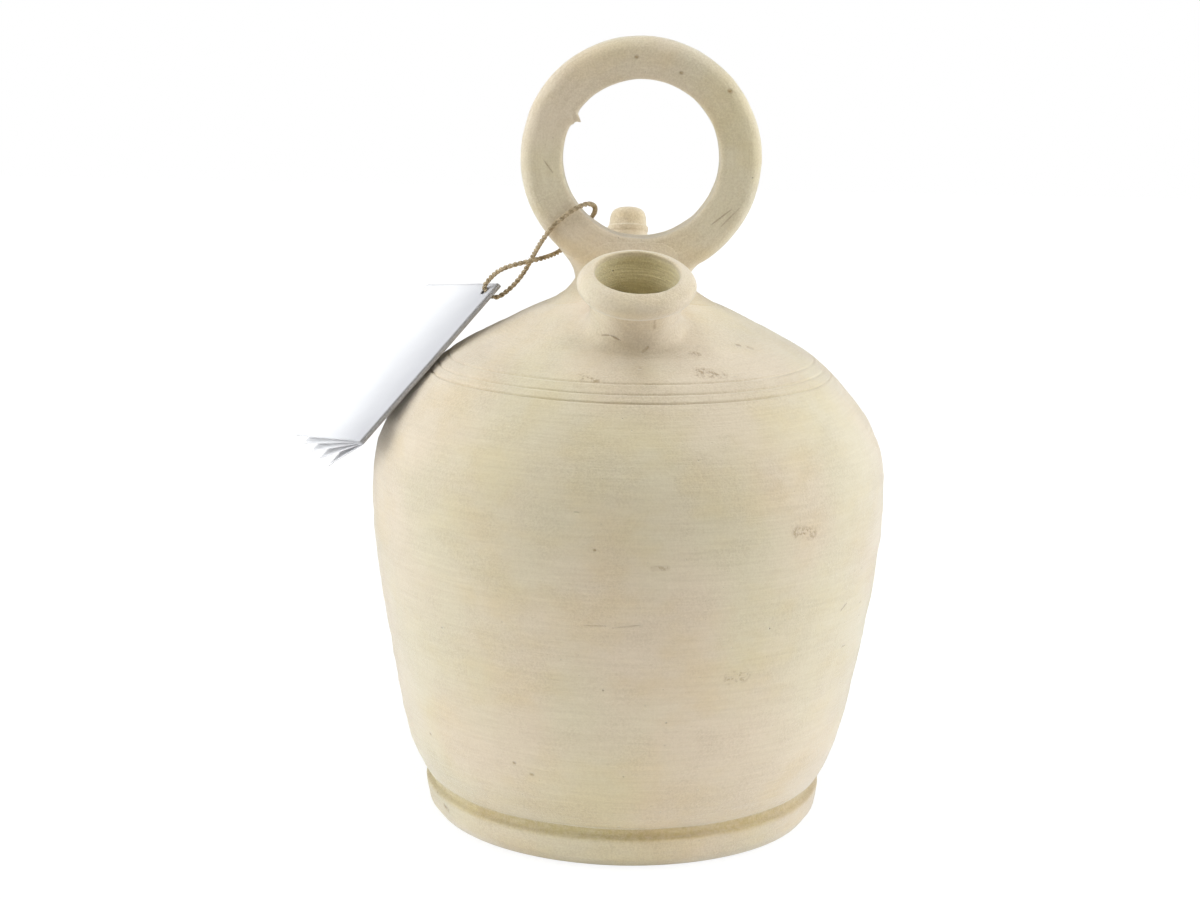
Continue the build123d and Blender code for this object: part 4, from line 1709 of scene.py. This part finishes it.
@dataclass
class FoldedCard:
    """The folded card: two covers and three inner leaves that fan out from the spine."""

    length: float = 0.0850
    width: float = 0.0550
    thickness: float = 0.0018
    cover_board: float = 0.00036
    leaf_board: float = 0.00028
    leaf_count: int = 3
    leaf_margin: float = 0.00072
    leaf_step: float = 0.00018
    opening: float = math.radians(18)
    hole_from_spine: float = 0.0050
    hole_from_top: float = 0.0040
    hole_radius: float = 0.0020
    punch_span: Pair = (-0.003, 0.003)
    bow: float = 0.0009
    droop: float = 0.8
    fold_radius: float = 0.00045
    # How far the painted shade reaches from the spine.
    spine_shade_reach: float = 0.0012
    grid: tuple[int, int] = (44, 56)

    def __post_init__(self) -> None:
        """Takes the card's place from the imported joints."""
        swing, turn = joint_of("card_swing"), joint_of("cover_turn")
        self.across = np.array(swing["axis"])
        self.down = -np.array(turn["axis"])
        self.out = np.cross(self.across, self.down)
        pivot = np.array(swing["pos_m"])
        self.corner = (
            pivot - self.across * self.hole_from_spine - self.down * self.hole_from_top
            - self.out * self.thickness / 2
        )

    def placed(self, places: Array) -> Array:
        """Moves points from the card's own axes into the frame."""
        return self.corner + places @ np.array((self.across, self.down, self.out))

    def sheet(self, name: str, under: Array, over: Array, hole: tuple[Array, Array]) -> bpy.types.Mesh:
        """Closes two grids of points into a thin board with a punched hole.

        Args:
            name: the mesh's name.
            under: points of one side in the card's own axes, in columns and rows.
            over: points of the other side.
            hole: the hole's middle and the direction that it goes through, in the card's own axes.

        Returns:
            The board's mesh.
        """
        columns, rows = under.shape[:2]
        count = columns * rows
        index = np.arange(count).reshape(columns, rows)
        quads = np.stack([index[:-1, :-1], index[1:, :-1], index[1:, 1:], index[:-1, 1:]], axis=-1)
        rim = np.concatenate([index[:, 0], index[-1, 1:], index[-2::-1, -1], index[0, -2:0:-1]])
        after = np.roll(rim, -1)
        walls = np.stack([rim, after, after + count, rim + count], axis=-1)
        quads = quads.reshape(-1, 4)
        faces = np.vstack((quads[:, ::-1], quads + count, walls))
        own = np.vstack((under.reshape(-1, 3), over.reshape(-1, 3)))
        # fold is 1 at the spine and marks where painted shade darkens the paper.
        fold = 1 - ease(self.spine_shade_reach / 3, self.spine_shade_reach, own[:, 0])
        places = self.placed(own)
        faces = outwards(places - places.mean(axis=0), faces)
        piece = shown(woven(name, places, faces, {"page": own * (1, 1, 0), "fold": fold}), name)
        middle, way = hole
        ends = self.placed(middle + np.array(((0, 0, 0), way, (way[2], 0, -way[0]))))
        axle = Axle(ends[0], ends[1] - ends[0], ends[2] - ends[0])
        return drilled(piece, [rod(axle, self.hole_radius, self.punch_span, 40)])

    def plate(
        self, name: str, start: float, level: float, board: float, opening: float, lift: float,
    ) -> bpy.types.Mesh:
        """Makes one leaf that stands open about its edge at the spine.

        Args:
            name: the mesh's name.
            start: way from the spine's outside to the leaf's edge.
            level: height of the leaf's underside at that edge.
            board: its thickness, below 0 where it hangs down from the edge.
            opening: the angle that it stands open.
            lift: the share of the bow that it has.

        Returns:
            The leaf's mesh with its hole.
        """
        u, v = np.meshgrid(*(np.linspace(0, 1, count) for count in self.grid), indexing="ij")
        bend = lift * self.bow * np.sin(math.pi * v) * np.sin(math.pi / 2 * u) ** 2
        bend -= lift * self.bow * self.droop * u * np.sin(math.pi / 2 * v) ** 6
        c, s = math.cos(opening), math.sin(opening)
        sides = []
        for side in (0.0, board):
            flat, rise = u * (self.width - start), side + bend
            out, up = start + flat * c - rise * s, level + flat * s + rise * c
            sides.append(np.stack([out, v * self.length, up], axis=-1))
        away = (self.hole_from_spine - start) / c
        middle = np.array((start + away * c, self.hole_from_top, level + away * s))
        return self.sheet(name, *sides, (middle, np.array((-s, 0.0, c))))

    def back_cover(self) -> bpy.types.Mesh:
        """Makes the back cover, folded up round the spine to the front cover's edge."""
        half, fold = self.cover_board / 2, self.fold_radius
        top = self.thickness - self.cover_board
        line = np.array([(self.width, half), (half + fold, half), (half, half + fold), (half, top)])
        line = softened(line, fold * 0.6)
        ways = paced(stations(line)[-1], lambda way: np.where(way > self.width - 0.004, 0.0002, 0.0016))
        line = placed_on(line, ways)
        slope = units(np.gradient(line, axis=0))
        outer = np.stack([-slope[:, 1], slope[:, 0]], axis=-1)
        down = np.linspace(0, self.length, self.grid[1])[None, :]
        sides = []
        for side in (half, -half):
            edge = line + side * outer
            sides.append(np.stack(np.broadcast_arrays(edge[:, :1], down, edge[:, 1:]), axis=-1))
        middle = np.array((self.hole_from_spine, self.hole_from_top, half))
        return self.sheet("card_back_cover_paper", *sides, (middle, np.array((0.0, 0.0, 1.0))))

    def boards(self) -> dict[str, bpy.types.Mesh]:
        """Builds the covers and the inner leaves.

        Returns:
            The meshes by the CAD node that each stands for.
        """
        built = {"card_back_cover": self.back_cover()}
        pitch = (self.thickness - 2 * self.cover_board) / self.leaf_count
        for number in range(1, self.leaf_count + 1):
            level = self.cover_board + pitch * (number - 0.5) - self.leaf_board / 2
            start = self.leaf_margin + self.leaf_step * (self.leaf_count - number)
            share = number / (self.leaf_count + 1)
            name = f"card_inner_leaf_{number}"
            built[name] = self.plate(
                name + "_paper", start, level, self.leaf_board, self.opening * share, share,
            )
        built["card_front_cover"] = self.plate(
            "card_front_cover_paper", 0.0, self.thickness, -self.cover_board, self.opening, 1.0
        )
        return built


@dataclass(frozen=True)
class Softbox:
    """An area lamp: its place, its width and height, its power in watts, and what it faces."""

    name: str
    place: Triple
    size: Pair
    strength: float
    target: Triple = (0.0, 0.0, 0.12)
    spread: float = math.radians(180)


@dataclass
class Studio:
    """Plain pale studio with soft light and the photograph's camera."""

    camera_place: Triple = (-0.01133, -0.8571, 0.3158)
    camera_pitch: float = math.radians(11.39)
    camera_roll: float = math.radians(1.09)
    lens: float = 66.72
    sensor: float = 36.0
    lamps: tuple[Softbox, ...] = (
        Softbox("left_softbox", (-1.00, 0.02, 0.30), (1.0, 1.3), 12.5),
        Softbox("right_softbox", (1.00, 0.02, 0.30), (1.0, 1.3), 12.5),
        Softbox("top_softbox", (0.0, -0.15, 1.30), (1.2, 1.2), 8.8),
        Softbox("front_softbox", (0.0, -1.35, 0.90), (0.9, 0.5), 0.45),
        Softbox("low_softbox", (0.0, -1.35, 0.12), (0.9, 0.1), 0.20, (0.0, -0.1, -0.03), math.radians(26)),
    )
    fill: float = 0.14
    fill_colour: Colour = (1.0, 0.92, 0.78)
    lamp_colour: Colour = (0.95, 0.98, 1.0)
    white: Colour = (1.0, 1.0, 1.0)
    floor_colour: Colour = (0.90, 0.90, 0.90)
    shadow_reach: Pair = (0.45, 0.15)
    floor_half: float = 3.0
    floor_drop: float = 0.0002
    floor_glow: float = 1.10
    shadow_share: float = 0.20

    def build(self) -> None:
        """Builds the floor, the world, the lamps and the camera."""
        scene = bpy.context.scene
        scene.view_settings.view_transform = "Standard"
        self.build_floor()
        self.build_world()
        for lamp in self.lamps:
            self.light(lamp)
        data = bpy.data.cameras.new("camera")
        data.lens, data.sensor_width = self.lens, self.sensor
        data.clip_start, data.clip_end = 0.01, 20.0
        camera = bpy.data.objects.new("camera", data)
        scene.collection.objects.link(camera)
        tilt = Matrix.Rotation(math.pi / 2 - self.camera_pitch, 4, "X")
        turn = tilt @ Matrix.Rotation(self.camera_roll, 4, "Z")
        camera.matrix_world = Matrix.Translation(self.camera_place) @ turn
        scene.camera = camera

    def light(self, lamp: Softbox) -> None:
        """Adds a lamp that faces its target."""
        data = bpy.data.lights.new(lamp.name, "AREA")
        data.shape, data.size, data.size_y = "RECTANGLE", *lamp.size
        data.energy, data.color, data.spread = lamp.strength, self.lamp_colour, lamp.spread
        piece = bpy.data.objects.new(lamp.name, data)
        bpy.context.scene.collection.objects.link(piece)
        away = (Vector(lamp.place) - Vector(lamp.target)).to_track_quat("Z", "Y")
        piece.matrix_world = Matrix.Translation(lamp.place) @ away.to_matrix().to_4x4()

    def build_world(self) -> None:
        """Lights the scene softly all round, with white where the camera sees the world."""
        world = bpy.data.worlds.new("studio")
        bpy.context.scene.world = world
        world.use_nodes = True
        world.node_tree.nodes.clear()
        desk = Desk(world.node_tree)
        rays = desk.node("ShaderNodeLightPath")
        mirrored = rays.sum("MAXIMUM", rays.of("Is Glossy Ray"), rays.of("Is Transmission Ray"))
        seen = rays.sum("MAXIMUM", rays, mirrored)
        dim = desk.node("ShaderNodeBackground", {}, {"Color": self.fill_colour, "Strength": self.fill})
        bright = desk.node("ShaderNodeBackground", {}, {"Color": self.white, "Strength": 1.0})
        both = desk.node("ShaderNodeMixShader", {}, {0: seen, 1: dim, 2: bright})
        desk.node("ShaderNodeOutputWorld", {}, {"Surface": both})

    def build_floor(self) -> None:
        """Adds a pale floor that stays near white and keeps a faint shadow."""
        half, low = self.floor_half, -self.floor_drop
        corners = [(-half, -half, low), (half, -half, low), (half, half, low), (-half, half, low)]
        mesh = bpy.data.meshes.new("floor")
        mesh.from_pydata(corners, [], [(0, 1, 2, 3)])
        floor = shown(mesh, "floor")
        material, desk = blank("pale_floor")
        rays = desk.node("ShaderNodeLightPath")
        place = desk.node("ShaderNodeTexCoord", output="Object")
        share = 1 - self.shadow_share * desk.vector("LENGTH", {0: place}, 1).ramp(*self.shadow_reach)
        matt = desk.node("ShaderNodeBsdfDiffuse", {}, {"Color": self.floor_colour})
        glow = desk.node("ShaderNodeEmission", {}, {"Color": self.white, "Strength": self.floor_glow})
        both = desk.node("ShaderNodeMixShader", {}, {0: rays * share, 1: matt, 2: glow})
        desk.node("ShaderNodeOutputMaterial", {}, {"Surface": both})
        mesh.materials.append(material)


def settled_copy(line: bpy.types.Object) -> bpy.types.Mesh:
    """Gives the points that a curve without thickness passes through, as a mesh."""
    bpy.context.view_layer.update()
    return bpy.data.meshes.new_from_object(line.evaluated_get(bpy.context.evaluated_depsgraph_get()))


def dress(mesh: bpy.types.Mesh, material: bpy.types.Material) -> None:
    """Gives a mesh one material."""
    mesh.materials.clear()
    mesh.materials.append(material)


def take_place(mesh: bpy.types.Mesh, name: str, node: str, body: str, slot: Slot) -> bpy.types.Object:
    """Shows a mesh in place of a CAD node.

    Args:
        mesh: the finished mesh.
        name: the piece's name.
        node: the CAD node that it stands for.
        body: the body that it moves with.
        slot: the material slot of the record; not used.

    Returns:
        The piece.
    """
    piece = shown(mesh, name)
    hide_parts(node)
    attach(piece, body)
    log.info("%s: %d faces", name, len(mesh.polygons))
    return piece


def main() -> None:
    """Builds the studio and every piece in order."""
    logging.basicConfig(level=logging.INFO, format="%(name)s: %(message)s")
    Studio().build()
    form = JugForm()
    clay, jute = Clay().material(form), Jute().material()
    vessel = {
        "thrown_body": ThrownBody(form), "filling_mouth": FillingMouth(form),
        "drinking_spout": DrinkingSpout(form), "handle_saddle": HandleSaddle(form),
        "ring_handle": RingHandle(form),
    }
    for node, maker in vessel.items():
        mesh = maker.build()
        dress(mesh, clay)
        take_place(mesh, node + "_clay", node, "vessel", Slot.CLAY)
    twine = TwineLoop()
    built = twine.tree(jute)
    line = twine.curve("twine_path", twine.route)
    path = [tuple(v.co) for v in settled_copy(line).vertices]
    piece = twine.strands("twine_loop_strands", line, built)
    dress(piece.data, jute)
    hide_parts("twine_loop")
    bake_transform(piece)
    way = float(lengths(np.diff(np.array(path), axis=0)).sum())
    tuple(path[0])
    log.info("twine: %.1f mm", way * 1000)
    knot = [twine.strands("twine_knot_wrap", twine.curve("wrap", twine.knot_points()), built)]
    knot += [
        twine.strands(f"twine_tail_{number}", twine.curve("tail", tail), built)
        for number, tail in enumerate(twine.tails, 1)
    ]
    for part in knot:
        dress(part.data, jute)
        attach(part, "vessel")
    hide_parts("twine_knot")
    card = FoldedCard()
    paper = Paper("white_card").material()
    bodies = {"card_front_cover": "card_front", "card_back_cover": "card_back"}
    bodies |= {f"card_inner_leaf_{n}": f"card_leaf_{n}" for n in range(1, card.leaf_count + 1)}
    for node, mesh in card.boards().items():
        dress(mesh, paper)
        take_place(mesh, node + "_paper", node, bodies[node], Slot.CARD)


if __name__ == "__main__":
    main()
